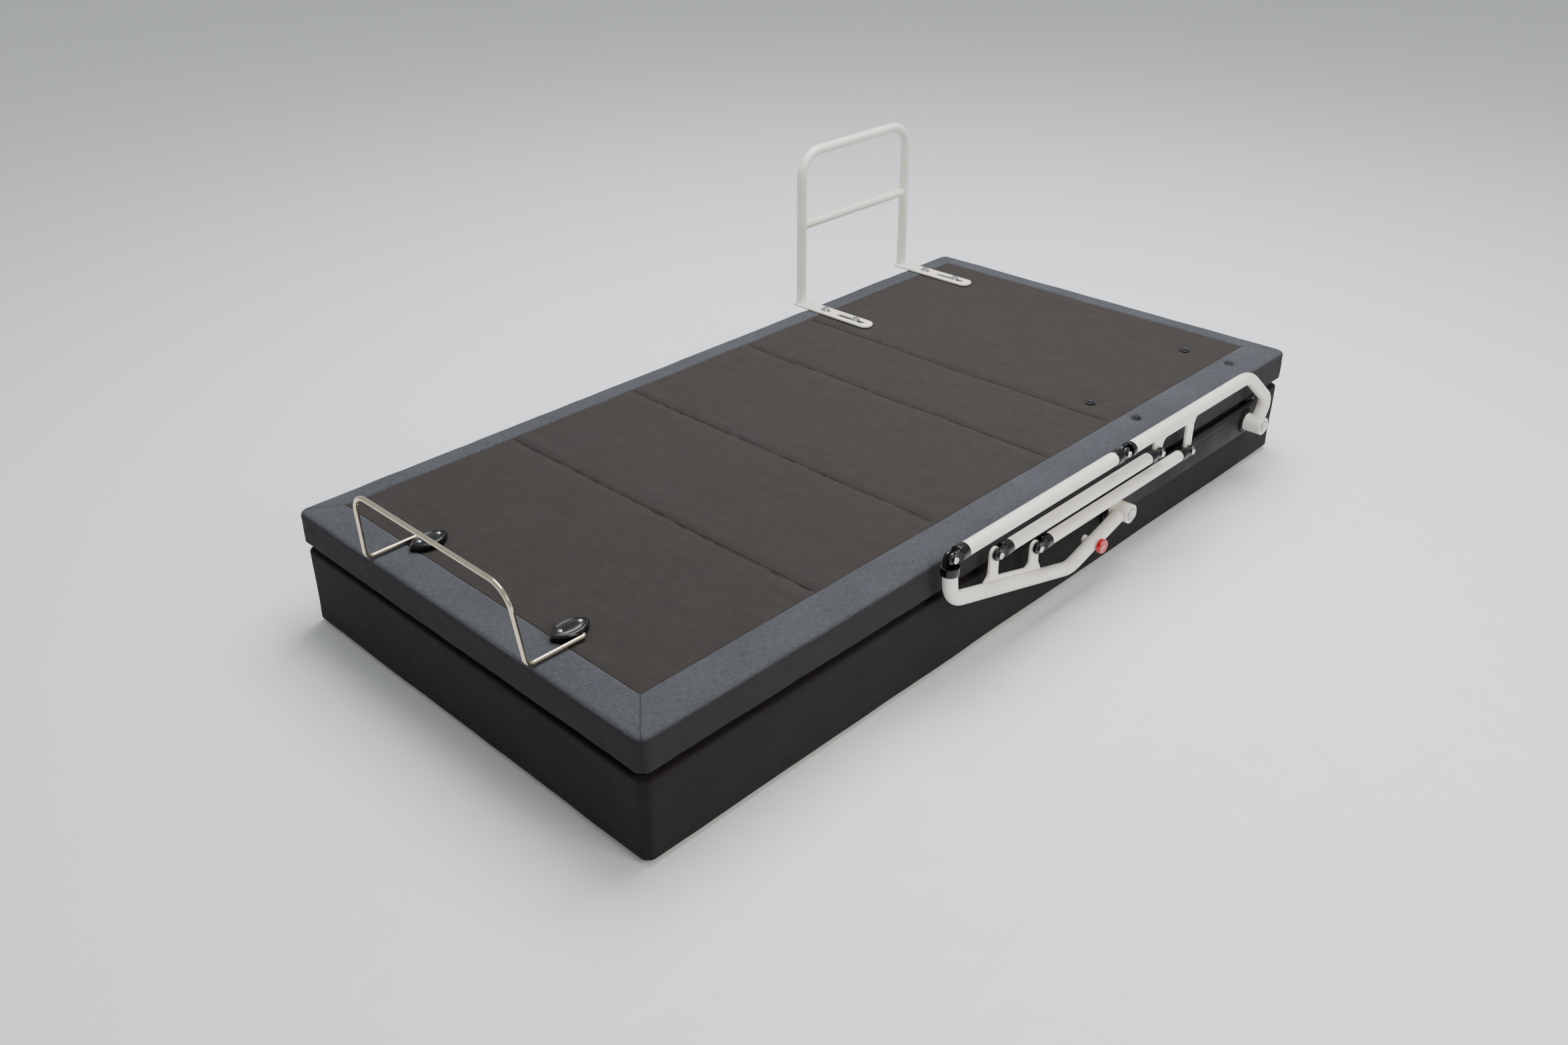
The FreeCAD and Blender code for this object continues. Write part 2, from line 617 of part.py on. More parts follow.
CROSS_RAILS = ("-end_rail", "link_pivot_x", "head_pivot_x", "foot_pivot_x", "end_rail")
CROSS_SIZE = ("tube_wide", "2 * frame_side - tube_wide", "tube_high")
for x in CROSS_RAILS:
    start = (f"{x} - tube_wide / 2", "-frame_side + tube_wide / 2", "base_rail_low")
    frame_parts.append(box_tube(start, CROSS_SIZE, "y"))
RAIL_TOP = "base_rail_low + tube_high"
for x in ("fold_thigh + frame_gap + tube_wide", "fold_lumbar - frame_gap - 2 * tube_wide"):
    for side in ("-frame_side", "frame_side"):
        start = (x, f"{side} - tube_wide / 2", RAIL_TOP)
        size = ("tube_wide", "tube_wide", f"deck_bottom - ({RAIL_TOP})")
        frame_parts.append(box_tube(start, size, "z"))
FOOT_HIGH = "base_rail_low - plinth_low"
frame_parts.append(block(("-middle_foot / 2", "-middle_foot / 2", "plinth_low"),
                         ("middle_foot", "middle_foot", FOOT_HIGH)))
for x in ("-glide_x", "glide_x"):
    for y in ("-frame_side", "frame_side"):
        start = (f"{x} - tube_wide / 2", f"{y} - tube_wide / 2", "plinth_low")
        frame_parts.append(block(start, ("tube_wide", "tube_wide", FOOT_HIGH)))
node("base_frame", group(frame_parts))


# ---------------------------------------------------------------- drives
# Two linear actuators lie side by side. Each turns on a bracket of the base
# frame and pushes a lever of the section that it lifts.

def bracket(x, z, side, low_z):
    """Two upright plates with a hole, standing on a base rail."""
    pieces = []
    for offset in ("-bracket_gap - lever_thick", "bracket_gap"):
        low_y = f"{side} + {offset}"
        eye = bar((x, low_y, z), "y", "lever_radius", "lever_thick")
        leg = block((f"{x} - tube_wide / 2", low_y, low_z), ("tube_wide", "lever_thick", f"{z} - ({low_z})"))
        hole = bar((x, f"{low_y} - 1", z), "y", "drive_pin + fit_gap", "lever_thick + 2")
        pieces.append(cut(fuse([eye, leg]), hole))
    return pieces


def actuator(name, start_x, start_z, end_x, end_z, side, outward):
    """Gearbox and motor, guide tube and push rod along the line between two pivots."""
    rise = f"{end_z} - {start_z}"
    run = math.hypot(val(f"{end_x} - {start_x}"), val(rise))
    lift = math.degrees(math.atan2(val(rise), val(f"{end_x} - {start_x}")))
    turn = FreeCAD.Rotation(FreeCAD.Vector(0, -1, 0), lift)
    half = "drive_eye_wide / 2"
    eye = bar((0, f"-{half}", 0), "y", "drive_eye", "drive_eye_wide")
    neck = block((0, f"-{half}", "-drive_eye"), ("case_start", "drive_eye_wide", "2 * drive_eye"))
    case = block(("case_start", "-case_wide / 2", "-case_high / 2"), ("case_long", "case_wide", "case_high"))
    motor = bar(("motor_start", f"{outward} * motor_side", 0), "x", "motor_radius", "motor_long")
    joining_y = "-motor_side" if outward < 0 else "0"
    joining = block(("case_start", joining_y, "-motor_radius"), ("case_long", "motor_side", "2 * motor_radius"))
    hole = bar((0, f"-{half} - 1", 0), "y", "drive_pin + fit_gap", "drive_eye_wide + 2")
    housing = cut(fuse([eye, neck, case, motor, joining]), hole)
    long = f"{run} - barrel_short - barrel_start"
    tube = cut(bar(("barrel_start", 0, 0), "x", "barrel_radius", long),
               bar(("barrel_start + 40", 0, 0), "x", "rod_radius + fit_gap", long))
    rod = fuse([bar(("rod_start", 0, 0), "x", "rod_radius", f"{run} - rod_start - rod_neck"),
                block((f"{run} - rod_neck - 2", "-rod_eye_wide / 2", "-rod_radius + 2"),
                      ("rod_neck + 2", "rod_eye_wide", "2 * rod_radius - 4")),
                bar((f"{run}", "-rod_eye_wide / 2", 0), "y", "drive_eye", "rod_eye_wide"),
                bar((f"{run}", "-rod_pin_long / 2", 0), "y", "drive_pin", "rod_pin_long")])
    for label, item in (("motor", housing), ("tube", tube), ("rod", rod)):
        holder = node(f"{name}_actuator_{label}", group([item]))
        holder.Placement = FreeCAD.Placement(FreeCAD.Vector(), turn)
        place(holder, (start_x, side, start_z))


actuator("head", "head_pivot_x", "head_pivot_z", "head_lever_x", "head_lever_z", "drive_side", 1)
actuator("foot", "foot_pivot_x", "foot_pivot_z", "foot_lever_x", "foot_lever_z", "-drive_side", -1)

plates = bracket("head_pivot_x", "head_pivot_z", "drive_side", RAIL_TOP)
plates += bracket("foot_pivot_x", "foot_pivot_z", "-drive_side", RAIL_TOP)
for side in LINK_SIDES:
    low_y = f"{side} + link_gap"
    eye = bar(("link_pivot_x", low_y, "link_pivot_z"), "y", "drive_eye", "lever_thick")
    leg = block(("link_pivot_x - tube_wide / 2", low_y, RAIL_TOP),
                ("tube_wide", "lever_thick", f"link_pivot_z - ({RAIL_TOP})"))
    hole = bar(("link_pivot_x", f"{low_y} - 1", "link_pivot_z"), "y", "drive_pin + fit_gap", "lever_thick + 2")
    plates.append(cut(fuse([eye, leg]), hole))
node("drive_brackets", group(plates))

DRIVE_HEAD = ("drive_pin_head", "drive_head_thick")
REACH = "bracket_gap + lever_thick + 1"
pins = [headed_pin(x, f"{side} - ({REACH})", z, "drive_pin", f"2 * ({REACH})", *DRIVE_HEAD)
        for x, side, z in (("head_pivot_x", "drive_side", "head_pivot_z"),
                           ("foot_pivot_x", "-drive_side", "foot_pivot_z"))]
pins += [headed_pin("link_pivot_x", f"{side} - 0.5", "link_pivot_z", "drive_pin", "link_pin_long", *DRIVE_HEAD)
         for side in LINK_SIDES]
node("drive_pins", group(pins))

LINK_RUN = math.hypot(val("link_far_x - link_pivot_x"), val("link_far_z - link_pivot_z"))
LINK_LIFT = math.degrees(math.atan2(val("link_far_z - link_pivot_z"), val("link_far_x - link_pivot_x")))
links = []
for side in LINK_SIDES:
    flat = fuse([bar((0, 0, 0), "y", "drive_eye", "lever_thick"),
                 bar((f"{LINK_RUN}", 0, 0), "y", "drive_eye", "lever_thick"),
                 block((0, 0, "-drive_eye"), (f"{LINK_RUN}", "lever_thick", "2 * drive_eye"))])
    flat = cut(flat, bar((0, "-1", 0), "y", "drive_pin + fit_gap", "lever_thick + 2"))
    link = fuse([flat, bar((f"{LINK_RUN}", 0, 0), "y", "drive_pin", "link_pin_long")])
    link.Placement = FreeCAD.Placement(FreeCAD.Vector(), FreeCAD.Rotation(FreeCAD.Vector(0, -1, 0), LINK_LIFT))
    links.append(place(link, ("link_pivot_x", side, "link_pivot_z")))
node("calf_links", group(links))

node("control_box", block(("box_x", "box_y", RAIL_TOP), ("box_long", "box_wide", "box_high")))
FACE = "box_x + box_long"
INLET_Z = f"{RAIL_TOP} + inlet_rise"
inlet = block((FACE, "inlet_y", INLET_Z), ("inlet_deep", "inlet_wide", "inlet_high"))
recess = block((f"{FACE} + inlet_wall", "inlet_y + inlet_wall", f"{INLET_Z} + inlet_wall"),
               ("inlet_deep", "inlet_wide - 2 * inlet_wall", "inlet_high - 2 * inlet_wall"))
contacts = [bar((f"{FACE} + inlet_wall - 1", f"inlet_y + inlet_wide / 2 + {step} * contact_step",
                 f"{INLET_Z} + inlet_high / 2"), "x", "contact_radius", "contact_long")
            for step in (-1, 0, 1)]
node("mains_inlet", fuse([cut(inlet, recess)] + contacts))


# ---------------------------------------------------------------- mattress retainer
# A bail of bent rod at the foot end. Its ends turn inwards into two clips.

CLIP_LOW = "deck_top"
CLIP_SCREWS = ("- clip_screw_foot", "+ clip_screw_head")


def clip(sign):
    """Lens-shaped clip with two screw holes and a bore for the rod's end."""
    half = val("clip_long / 2")
    rise = val("clip_wide / 2")
    bend = (half * half + rise * rise) / (2 * rise)
    body = doc.addObject("PartDesign::Body", "clip")
    plane = [item for item in body.Origin.OriginFeatures if item.Role == "XY_Plane"][0]
    sketch = body.newObject("Sketcher::SketchObject", "lens")
    sketch.AttachmentSupport = [(plane, "")]
    sketch.MapMode = "FlatFace"
    spread = math.asin(half / bend)
    for facing in (1, -1):
        centre = FreeCAD.Vector(0, facing * (rise - bend), 0)
        middle = facing * math.pi / 2
        circle = Part.Circle(centre, FreeCAD.Vector(0, 0, 1), bend)
        sketch.addGeometry(Part.ArcOfCircle(circle, middle - spread, middle + spread))
    pad = body.newObject("PartDesign::Pad", "thickness")
    pad.Profile = sketch
    bind(pad, "Length", "clip_high")
    side = "clip_side" if sign > 0 else "-clip_side"
    place(body, ("clip_x", side, CLIP_LOW))
    start = "clip_side - clip_bore_deep" if sign > 0 else "-wire_side"
    deep = "wire_side - clip_side + clip_bore_deep"
    bore = bar(("wire_axis_x", start, "wire_axis_z"), "y", "wire_radius + fit_gap", deep)
    holes = [bar((f"clip_x {shift}", side, f"{CLIP_LOW} - 1"), "z", "screw_radius + 0.2", "clip_high + 2")
             for shift in CLIP_SCREWS]
    return cut(body, group([bore] + holes))


node("retainer_clips", group([clip(-1), clip(1)]))
screws = []
for side in ("-clip_side", "clip_side"):
    for shift in CLIP_SCREWS:
        shaft = bar((f"clip_x {shift}", side, f"{CLIP_LOW} + 0.2"), "z", "screw_radius", "clip_high")
        head = bar((f"clip_x {shift}", side, f"{CLIP_LOW} + clip_high + 0.05"), "z", "screw_head",
                   "screw_head_high")
        screws.append(fuse([shaft, head]))
node("retainer_screws", group(screws))

WIRE_INNER = "clip_side - clip_bore_deep + 1"
wire_points = (
    ("wire_axis_x", f"-({WIRE_INNER})", "wire_axis_z"),
    ("wire_axis_x", "-wire_side", "wire_axis_z"),
    ("wire_end_x", "-wire_side", "wire_axis_z"),
    ("wire_top_x", "-wire_top_side", "wire_top_z"),
    ("wire_top_x", "wire_top_side", "wire_top_z"),
    ("wire_end_x", "wire_side", "wire_axis_z"),
    ("wire_axis_x", "wire_side", "wire_axis_z"),
    ("wire_axis_x", WIRE_INNER, "wire_axis_z"),
)
WIRE_BENDS = (6, 16, 46, 46, 16, 6)
node("mattress_retainer", group([swept(bent_line(wire_points, WIRE_BENDS), "wire_radius")]))


# ---------------------------------------------------------------- assist handle
# A bent tube hoop with a middle bar on two slotted foot plates, bolted down
# through the far side of the back section.

hoop_points = (
    ("handle_foot_x", "handle_y", "deck_top + plate_thick"),
    ("handle_foot_x", "handle_y", "handle_top - handle_radius"),
    ("handle_head_x", "handle_y", "handle_top - handle_radius"),
    ("handle_head_x", "handle_y", "deck_top + plate_thick"),
)
hoop_line = bent_line(hoop_points, (val("handle_bend"), val("handle_bend")))
hoop = cut(swept(hoop_line, "handle_radius"), swept(hoop_line, "handle_radius - post_wall"))
middle_bar = bar(("handle_foot_x", "handle_y", "handle_bar_z"), "x", "handle_bar_radius",
                 "handle_head_x - handle_foot_x")
middle_bar = cut(middle_bar, swept(hoop_line, "handle_radius + 0.05"))
node("assist_handle", group([hoop, middle_bar]))


def foot_plate(x):
    """Slotted plate with a rounded inner end."""
    half = val("plate_wide / 2")
    tip = val("plate_tip")
    end = val("plate_end")
    outline = [(half, tip, half * 0.96), (half, end, 6), (-half, end, 6), (-half, tip, half * 0.96)]
    wide = val("plate_slot")
    bend = wide * 0.985
    slots = []
    for low, high in ((434, 464), (322, 408)):
        slots.append([(wide, low, bend), (wide, high, bend), (-wide, high, bend), (-wide, low, bend)])
    return plate("XY_Plane", [outline] + slots, [], "plate_thick", (x, 0, "deck_top"))


node("assist_foot_plates", group([foot_plate("handle_foot_x"), foot_plate("handle_head_x")]))


def deck_bolt(x, y, washer_z, nut_z):
    """Bolt with a washer and domed head on top and a nut below."""
    top = f"{washer_z} + washer_thick"
    washer = bar((x, y, washer_z), "z", "washer_radius", "washer_thick")
    head = bar((x, y, top), "z", "bolt_head", "bolt_head_high")
    shaft = bar((x, y, f"{nut_z} - nut_high + 2"), "z", "bolt_radius", f"{top} - {nut_z} + nut_high - 2")
    nut = bar((x, y, f"{nut_z} - nut_high"), "z", "nut_radius", "nut_high")
    return fuse([washer, head, shaft, nut])


PLATE_TOP = "deck_top + plate_thick"
node("assist_bolts", group([deck_bolt(x, y, PLATE_TOP, f"({BOARD_LOW})") for x, y in HANDLE_BOLTS]))


# ---------------------------------------------------------------- folding side rail
# Two posts turn on a carrier bar of the back section. Three rails join them, so
# the posts and the rails stay a parallelogram. It is folded at rest.

PIVOTS = ("rail_foot_x", "rail_foot_x + rail_link")
carrier_bar = block(("rail_foot_x - carrier_past", "carrier_inner - carrier_thick", "carrier_low"),
                    ("rail_link + 2 * carrier_past", "carrier_thick", "carrier_high - carrier_low"))
flanges = [bar((x, "boss_inner + flange_gap", "rail_pivot_z"), "y", "carrier_flange",
               "carrier_inner - carrier_thick - boss_inner - flange_gap")
           for x in PIVOTS]
bores = [bar((x, "boss_inner - 1", "rail_pivot_z"), "y", "pivot_bolt", "carrier_inner - boss_inner + 2")
         for x in PIVOTS]
arms = [cut(fuse([carrier_bar] + flanges), group(bores))]
for x in ("arm_foot_x", "arm_head_x"):
    arm = block((f"{x} - arm_wide / 2", "carrier_inner", "deck_bottom - arm_high"),
                ("arm_wide", "arm_end - carrier_inner", "arm_high"))
    holes = [bar((x, y, "carrier_low"), "z", "bolt_hole", "deck_top - carrier_low")
             for y in ("arm_outer_bolt", "arm_inner_bolt")]
    arms.append(cut(arm, group(holes)))
node("rail_carrier", group(arms))
node("rail_carrier_bolts", group([deck_bolt(x, y, "deck_top - washer_thick", "(deck_bottom - arm_high)")
                                  for x, y in CARRIER_BOLTS]))
pivots = []
for x in PIVOTS:
    shaft = bar((x, "boss_outer - 0.3", "rail_pivot_z"), "y", "pivot_bolt", "carrier_inner - boss_outer + 0.3")
    cap = bar((x, "boss_outer - 4.3", "rail_pivot_z"), "y", "pivot_cap", "4")
    pivots.append(fuse([shaft, cap]))
node("rail_pivot_bolts", group(pivots))

JOINTS = ((-578, 142), (-440, 91), (-309, 48))


def joint_at(index, shift):
    """Formulas of a rail joint's x and z; shift moves it to the head-side post."""
    along, up = JOINTS[index]
    return f"rail_foot_x + {shift} + {along}", f"rail_pivot_z + {up}"


def in_post(pivot, points):
    """Corner points of a post from its pivot, in the side rail's plane."""
    return [(f"{pivot} + {along}", "rail_plane", f"rail_pivot_z + {up}") for along, up in points]


def post(pivot, outer_points, inner_points, bends, holes):
    """Bent tube with a pivot boss at one end."""
    solid = swept(bent_line(in_post(pivot, outer_points), bends), "post_radius")
    hollow = swept(bent_line(in_post(pivot, inner_points), bends), "post_radius - post_wall")
    boss = bar((pivot, "boss_outer", "rail_pivot_z"), "y", "boss_radius", "boss_inner - boss_outer")
    deep = "boss_inner - boss_outer + 2"
    bore = bar((pivot, "boss_outer - 1", "rail_pivot_z"), "y", "pivot_bolt + fit_gap", deep)
    return cut(fuse([solid, boss]), group([hollow, bore] + holes))


LOW_BEND = (-186, -53)
KNOB_Z = f"rail_pivot_z {LOW_BEND[1]} * (rail_foot_x - knob_x) / {-LOW_BEND[0]}"
PIN_BORE = "joint_pin + fit_gap"
pin_hole = bar(("knob_x", "rail_plane - 2 * post_radius", KNOB_Z), "y", PIN_BORE, "4 * post_radius")
foot_outer = [(0, 0), LOW_BEND, (-571, 52), (-577, 116)]
foot_inner = [(-26.9, -7.7), LOW_BEND, (-571, 52), (-577.1, 117)]
housing = bar(("knob_x", "rail_plane + post_radius + 0.3", KNOB_Z), "y", "housing_radius", "housing_long")
housing = cut(housing, bar(("knob_x", "rail_plane", KNOB_Z), "y", PIN_BORE, "4 * post_radius"))
foot_tube = post("rail_foot_x", foot_outer, foot_inner, (70, 45), [pin_hole])
node("foot_post", group([foot_tube, housing]))
head_outer = [(0, 0), (36, 52), (-75, 142), (-552, 142)]
head_inner = [(15.9, 23), (36, 52), (-75, 142), (-553, 142)]
node("head_post", post("rail_foot_x + rail_link", head_outer, head_inner, (29, 90), []))


def ear(outline, holes):
    """Flat ear plate welded to a post."""
    return upright_plate(outline, holes, "ear_thick", "ear_inner")


def post_top(x):
    """Height of the foot-side post's upper surface below its ears."""
    slope = (foot_outer[2][1] - LOW_BEND[1]) / (LOW_BEND[0] - foot_outer[2][0])
    centre = val("rail_pivot_z") + LOW_BEND[1] + (val("rail_foot_x") + LOW_BEND[0] - x) * slope
    return centre + (val("post_radius") + 0.05) * math.hypot(1, slope)


EYE = val("eye_radius")
EYE_BEND = EYE * 0.98
EAR_SKIRT = 26    # foot of an ear along its post, past the joint
EAR_FOOT = 16     # height of the flare at the foot of an ear
EAR_RISE = 9      # strip of plate between two ears
EAR_FLARE = 1     # an ear widens by this much towards its foot
EAR_BEND = 16     # bend into the flare of an ear
WINDOW_BEND = 12  # lower corners of the window between two ears

eyes = [(val(x), val(z)) for x, z in (joint_at(index, "0") for index in range(3))]
(x_two, z_two), (x_three, z_three) = eyes[1], eyes[2]
outline = [
    (x_two - EAR_SKIRT, post_top(x_two - EAR_SKIRT), 0),
    (x_two - EYE - EAR_FLARE, post_top(x_two) + EAR_FOOT, EAR_BEND),
    (x_two - EYE, z_two + EYE, EYE_BEND),
    (x_two + EYE, z_two + EYE, EYE_BEND),
    (x_two + EYE + EAR_FLARE, post_top(x_two + EYE) + EAR_RISE, WINDOW_BEND),
    (x_three - EYE - EAR_FLARE, post_top(x_three - EYE) + EAR_RISE, WINDOW_BEND),
    (x_three - EYE, z_three + EYE, EYE_BEND),
    (x_three + EYE, z_three + EYE, EYE_BEND),
    (x_three + EYE + EAR_FLARE, post_top(x_three) + EAR_FOOT, EAR_BEND),
    (x_three + EAR_SKIRT, post_top(x_three + EAR_SKIRT), 0),
]
node("foot_post_ears", ear(outline, [(x, z, "joint_pin") for x, z in eyes[1:]]))

eyes = [(val(x), val(z)) for x, z in (joint_at(index, "rail_link") for index in range(3))]
(x_two, z_two), (x_three, z_three) = eyes[1], eyes[2]
top = val(f"rail_pivot_z + {head_outer[-1][1]} - post_radius - 0.05")
outline = [
    (x_two - EYE - 9, top, 0),
    (x_two - EYE - EAR_FLARE, top - 12, 12),
    (x_two - EYE, z_two - EYE, EYE_BEND),
    (x_two + EYE, z_two - EYE, EYE_BEND),
    (x_two + EYE + 12, top - 14, 14),
    (x_three - EYE - EAR_FLARE, top - 14, 14),
    (x_three - EYE, z_three - EYE, EYE_BEND),
    (x_three + EYE, z_three - EYE, EYE_BEND),
    (x_three + EYE + EAR_FLARE, top - 20, EAR_BEND),
    (x_three + EAR_SKIRT, top, 0),
]
node("head_post_ears", ear(outline, [(x, z, "joint_pin") for x, z in eyes[1:]]))


def post_end(x, z, collar, root, root_size):
    """Moulded end of a post: a collar on the tube's end and an eye for the top rail's pin."""
    stem = block(root, root_size)
    eye = bar((x, "ear_inner", z), "y", "eye_radius", "ear_thick")
    hole = bar((x, "ear_inner - 1", z), "y", PIN_BORE, "ear_thick + 2")
    return cut(fuse([collar, stem, eye]), hole)


# The foot-side collar is a cap over the end of its leaning tube.
COLLAR_TOP = 16.4
COLLAR_SEAT = 24.4
COLLAR_LOW = 33
x_one, z_one = joint_at(0, "0")
collar = cut(bar((f"{x_one} + 1", "rail_plane", f"{z_one} - {COLLAR_LOW}"), "z",
                 "post_radius + 2 * fitting_wall", COLLAR_LOW - COLLAR_TOP),
             bar((f"{x_one} + 1", "rail_plane", f"{z_one} - {COLLAR_LOW} - 1"), "z",
                 "post_radius + 1", COLLAR_LOW - COLLAR_SEAT + 1))
node("foot_post_end", post_end(x_one, z_one, collar,
                               (f"{x_one} - eye_radius", "ear_inner", f"{z_one} - {COLLAR_TOP} - 2"),
                               ("2 * eye_radius", "ear_thick", f"{COLLAR_TOP} + 2")))
x_one, z_one = joint_at(0, "rail_link")
collar = bar((f"{x_one} + 13.95", "rail_plane", z_one), "x", "post_radius + fitting_wall", "12")
node("head_post_end", post_end(x_one, z_one, collar, (x_one, "ear_inner", f"{z_one} - eye_radius"),
                               ("18", "ear_thick", "2 * eye_radius")))

PIN_REACH = 12
for name, shift in (("foot", "0"), ("head", "rail_link")):
    pins = []
    for index in range(3):
        x, z = joint_at(index, shift)
        reach = f"ear_inner - {PIN_REACH}"
        shaft = bar((x, reach, z), "y", "joint_pin", f"ear_thick + {PIN_REACH}")
        cap = bar((x, f"{reach} - joint_cap", z), "y", "pin_head", "joint_cap")
        pins.append(fuse([shaft, cap]))
    node(f"{name}_post_pins", group(pins))

for index, name in enumerate(("top", "middle", "low")):
    radius = "post_radius" if name == "top" else "rail_radius"
    start, z = joint_at(index, "0")
    finish = joint_at(index, "rail_link")[0]
    length = "rail_link - 2 * fitting_long"
    outer = bar((f"{start} + fitting_long", "rail_plane", z), "x", radius, length)
    inner = bar((f"{start} + fitting_long", "rail_plane", z), "x", f"{radius} - post_wall", length)
    node(f"{name}_rail", cut(outer, inner))
    fittings = []
    for x, toward in ((start, 1), (finish, -1)):
        collar_x = f"{x} + fitting_root" if toward > 0 else f"{x} - fitting_long"
        stem_x = x if toward > 0 else f"{x} - fitting_root - 2"
        low_y = "ear_inner - fitting_gap - fitting_thick"
        sleeve = "fitting_long - fitting_root"
        collar = bar((collar_x, "rail_plane", z), "x", f"{radius} + fitting_wall", sleeve)
        stem_size = ("fitting_root + 2", "fitting_thick", "2 * eye_radius")
        stem = block((stem_x, low_y, f"{z} - eye_radius"), stem_size)
        eye = bar((x, low_y, z), "y", "eye_radius", "fitting_thick")
        hole = bar((x, f"{low_y} - 1", z), "y", PIN_BORE, "fitting_thick + 2")
        fittings.append(cut(fuse([collar, stem, eye]), hole))
    node(f"{name}_rail_ends", group(fittings))

# The release knob pulls a lock pin out along -Y, through the foot-side post.
KNOB_Y = "rail_plane - post_radius - knob_gap"
knob_disc = bar(("knob_x", f"{KNOB_Y} - knob_thick", KNOB_Z), "y", "knob_radius", "knob_thick")
knob_hole = bar(("knob_x", f"{KNOB_Y} - knob_thick - 1", KNOB_Z), "y", "knob_screw", "knob_screw")
node("release_knob", cut(knob_disc, knob_hole))
node("lock_pin", bar(("knob_x", KNOB_Y, KNOB_Z), "y", "joint_pin", "lock_pin_long"))

doc.recompute()

# ---------------------------------------------------------------- check and write
failed = [item.Label for item in doc.Objects if "Invalid" in item.State or "Error" in item.State]
for item in NODES:
    shape = item.Shape
    if shape.isNull() or not shape.isValid() or not shape.Solids:
        failed.append(item.Label)
if failed:
    raise RuntimeError("failed: " + ", ".join(failed))
os.makedirs("parts", exist_ok=True)
for item in NODES:
    item.Shape.exportStep(f"parts/{item.Label}.step")
    print(item.Label, len(item.Shape.Solids), round(item.Shape.Volume / 1000))
print(len(NODES), "sub-parts")
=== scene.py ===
import json
import math

import bmesh
import bpy
import numpy as np
from mathutils import Matrix, Vector


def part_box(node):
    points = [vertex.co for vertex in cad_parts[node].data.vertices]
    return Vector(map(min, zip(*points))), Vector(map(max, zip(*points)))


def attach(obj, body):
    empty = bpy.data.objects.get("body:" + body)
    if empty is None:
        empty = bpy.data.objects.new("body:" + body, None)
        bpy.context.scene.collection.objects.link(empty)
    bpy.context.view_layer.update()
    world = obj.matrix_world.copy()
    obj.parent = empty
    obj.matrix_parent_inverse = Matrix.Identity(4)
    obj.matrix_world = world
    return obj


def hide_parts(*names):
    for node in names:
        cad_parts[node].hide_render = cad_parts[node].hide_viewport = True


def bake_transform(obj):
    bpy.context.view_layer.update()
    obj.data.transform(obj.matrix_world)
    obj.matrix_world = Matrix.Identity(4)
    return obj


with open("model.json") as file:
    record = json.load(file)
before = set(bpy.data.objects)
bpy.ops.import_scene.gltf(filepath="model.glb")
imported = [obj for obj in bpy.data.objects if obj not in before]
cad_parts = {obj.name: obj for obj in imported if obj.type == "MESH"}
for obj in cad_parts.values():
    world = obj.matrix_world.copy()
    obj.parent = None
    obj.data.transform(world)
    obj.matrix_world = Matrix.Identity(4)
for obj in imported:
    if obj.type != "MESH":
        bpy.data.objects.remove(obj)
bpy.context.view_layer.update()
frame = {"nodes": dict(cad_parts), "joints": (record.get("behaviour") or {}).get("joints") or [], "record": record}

hinge_place = {joint["name"]: joint["pos_m"] for joint in frame["joints"] if "pos_m" in joint}


# ---------------------------------------------------------------- camera
# The bed is seen from above its near foot corner, from a little over two metres.


def placed(name, data):
    """New object at the origin that shows the data."""
    made = bpy.data.objects.new(name, data)
    bpy.context.scene.collection.objects.link(made)
    return made


view_from = Vector((-2.0273, -1.7698, 1.5580))
view_to = Vector((-0.3220, 0.0246, 0.2524))
view_roll = math.radians(-1.36)
forward = (view_to - view_from).normalized()
level = forward.cross(Vector((0, 0, 1))).normalized()
above = level.cross(forward)
across = level * math.cos(view_roll) + above * math.sin(view_roll)
upright = above * math.cos(view_roll) - level * math.sin(view_roll)
facing = Matrix((across, upright, -forward)).transposed().to_4x4()
camera = placed("camera", bpy.data.cameras.new("camera"))
camera.matrix_world = Matrix.Translation(view_from) @ facing
camera.data.sensor_width = 36
camera.data.lens = 32.23
camera.data.shift_x = 0.0391
camera.data.shift_y = -0.0336
bpy.context.scene.camera = camera


# ---------------------------------------------------------------- upholstery of the lying surface
# Charcoal woven cloth over thin foam, wrapped round the boards and stapled
# below. A dark panel of ribbed grip cloth is sewn into the middle, and sewn
# creases in it mark the folds. The border's corners are mitred.

deck_min = np.array(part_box("calf_cover")[0])
deck_max = np.array(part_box("back_cover")[1])
folds = [hinge_place[name][0] for name in ("calf_tilt", "thigh_tilt", "lumbar_tilt", "back_tilt")]
panel_min = np.array([-0.923, -0.412])
panel_max = np.array([0.953, 0.450])
screw_spots = [(x, y) for x in (0.449, 0.844) for y in (-0.439, -0.327)]
clip_spots = [(-0.894, -0.2055), (-0.894, 0.2055)]
plate_spots = [(0.452, 0.422), (0.850, 0.422)]
plate_half_wide, plate_tip = 0.020, 0.300
flap_width = 0.024


def spaced(low, high, step, marks, offsets):
    """Grid lines from low to high about a step apart; near each mark they are mark + offset instead."""
    even = np.linspace(low, high, max(2, round((high - low) / step) + 1))
    marks = np.array(marks)
    offsets = np.array(offsets)
    offsets = np.concatenate([-offsets[:0:-1], offsets])
    far = np.abs(even[:, None] - marks[None, :]).min(1) > offsets.max() + 0.4 * step
    lines = np.concatenate([even[far], (marks[:, None] + offsets[None, :]).ravel(), [low, high]])
    return np.unique(np.round(lines[(lines >= low - 1e-9) & (lines <= high + 1e-9)], 5))


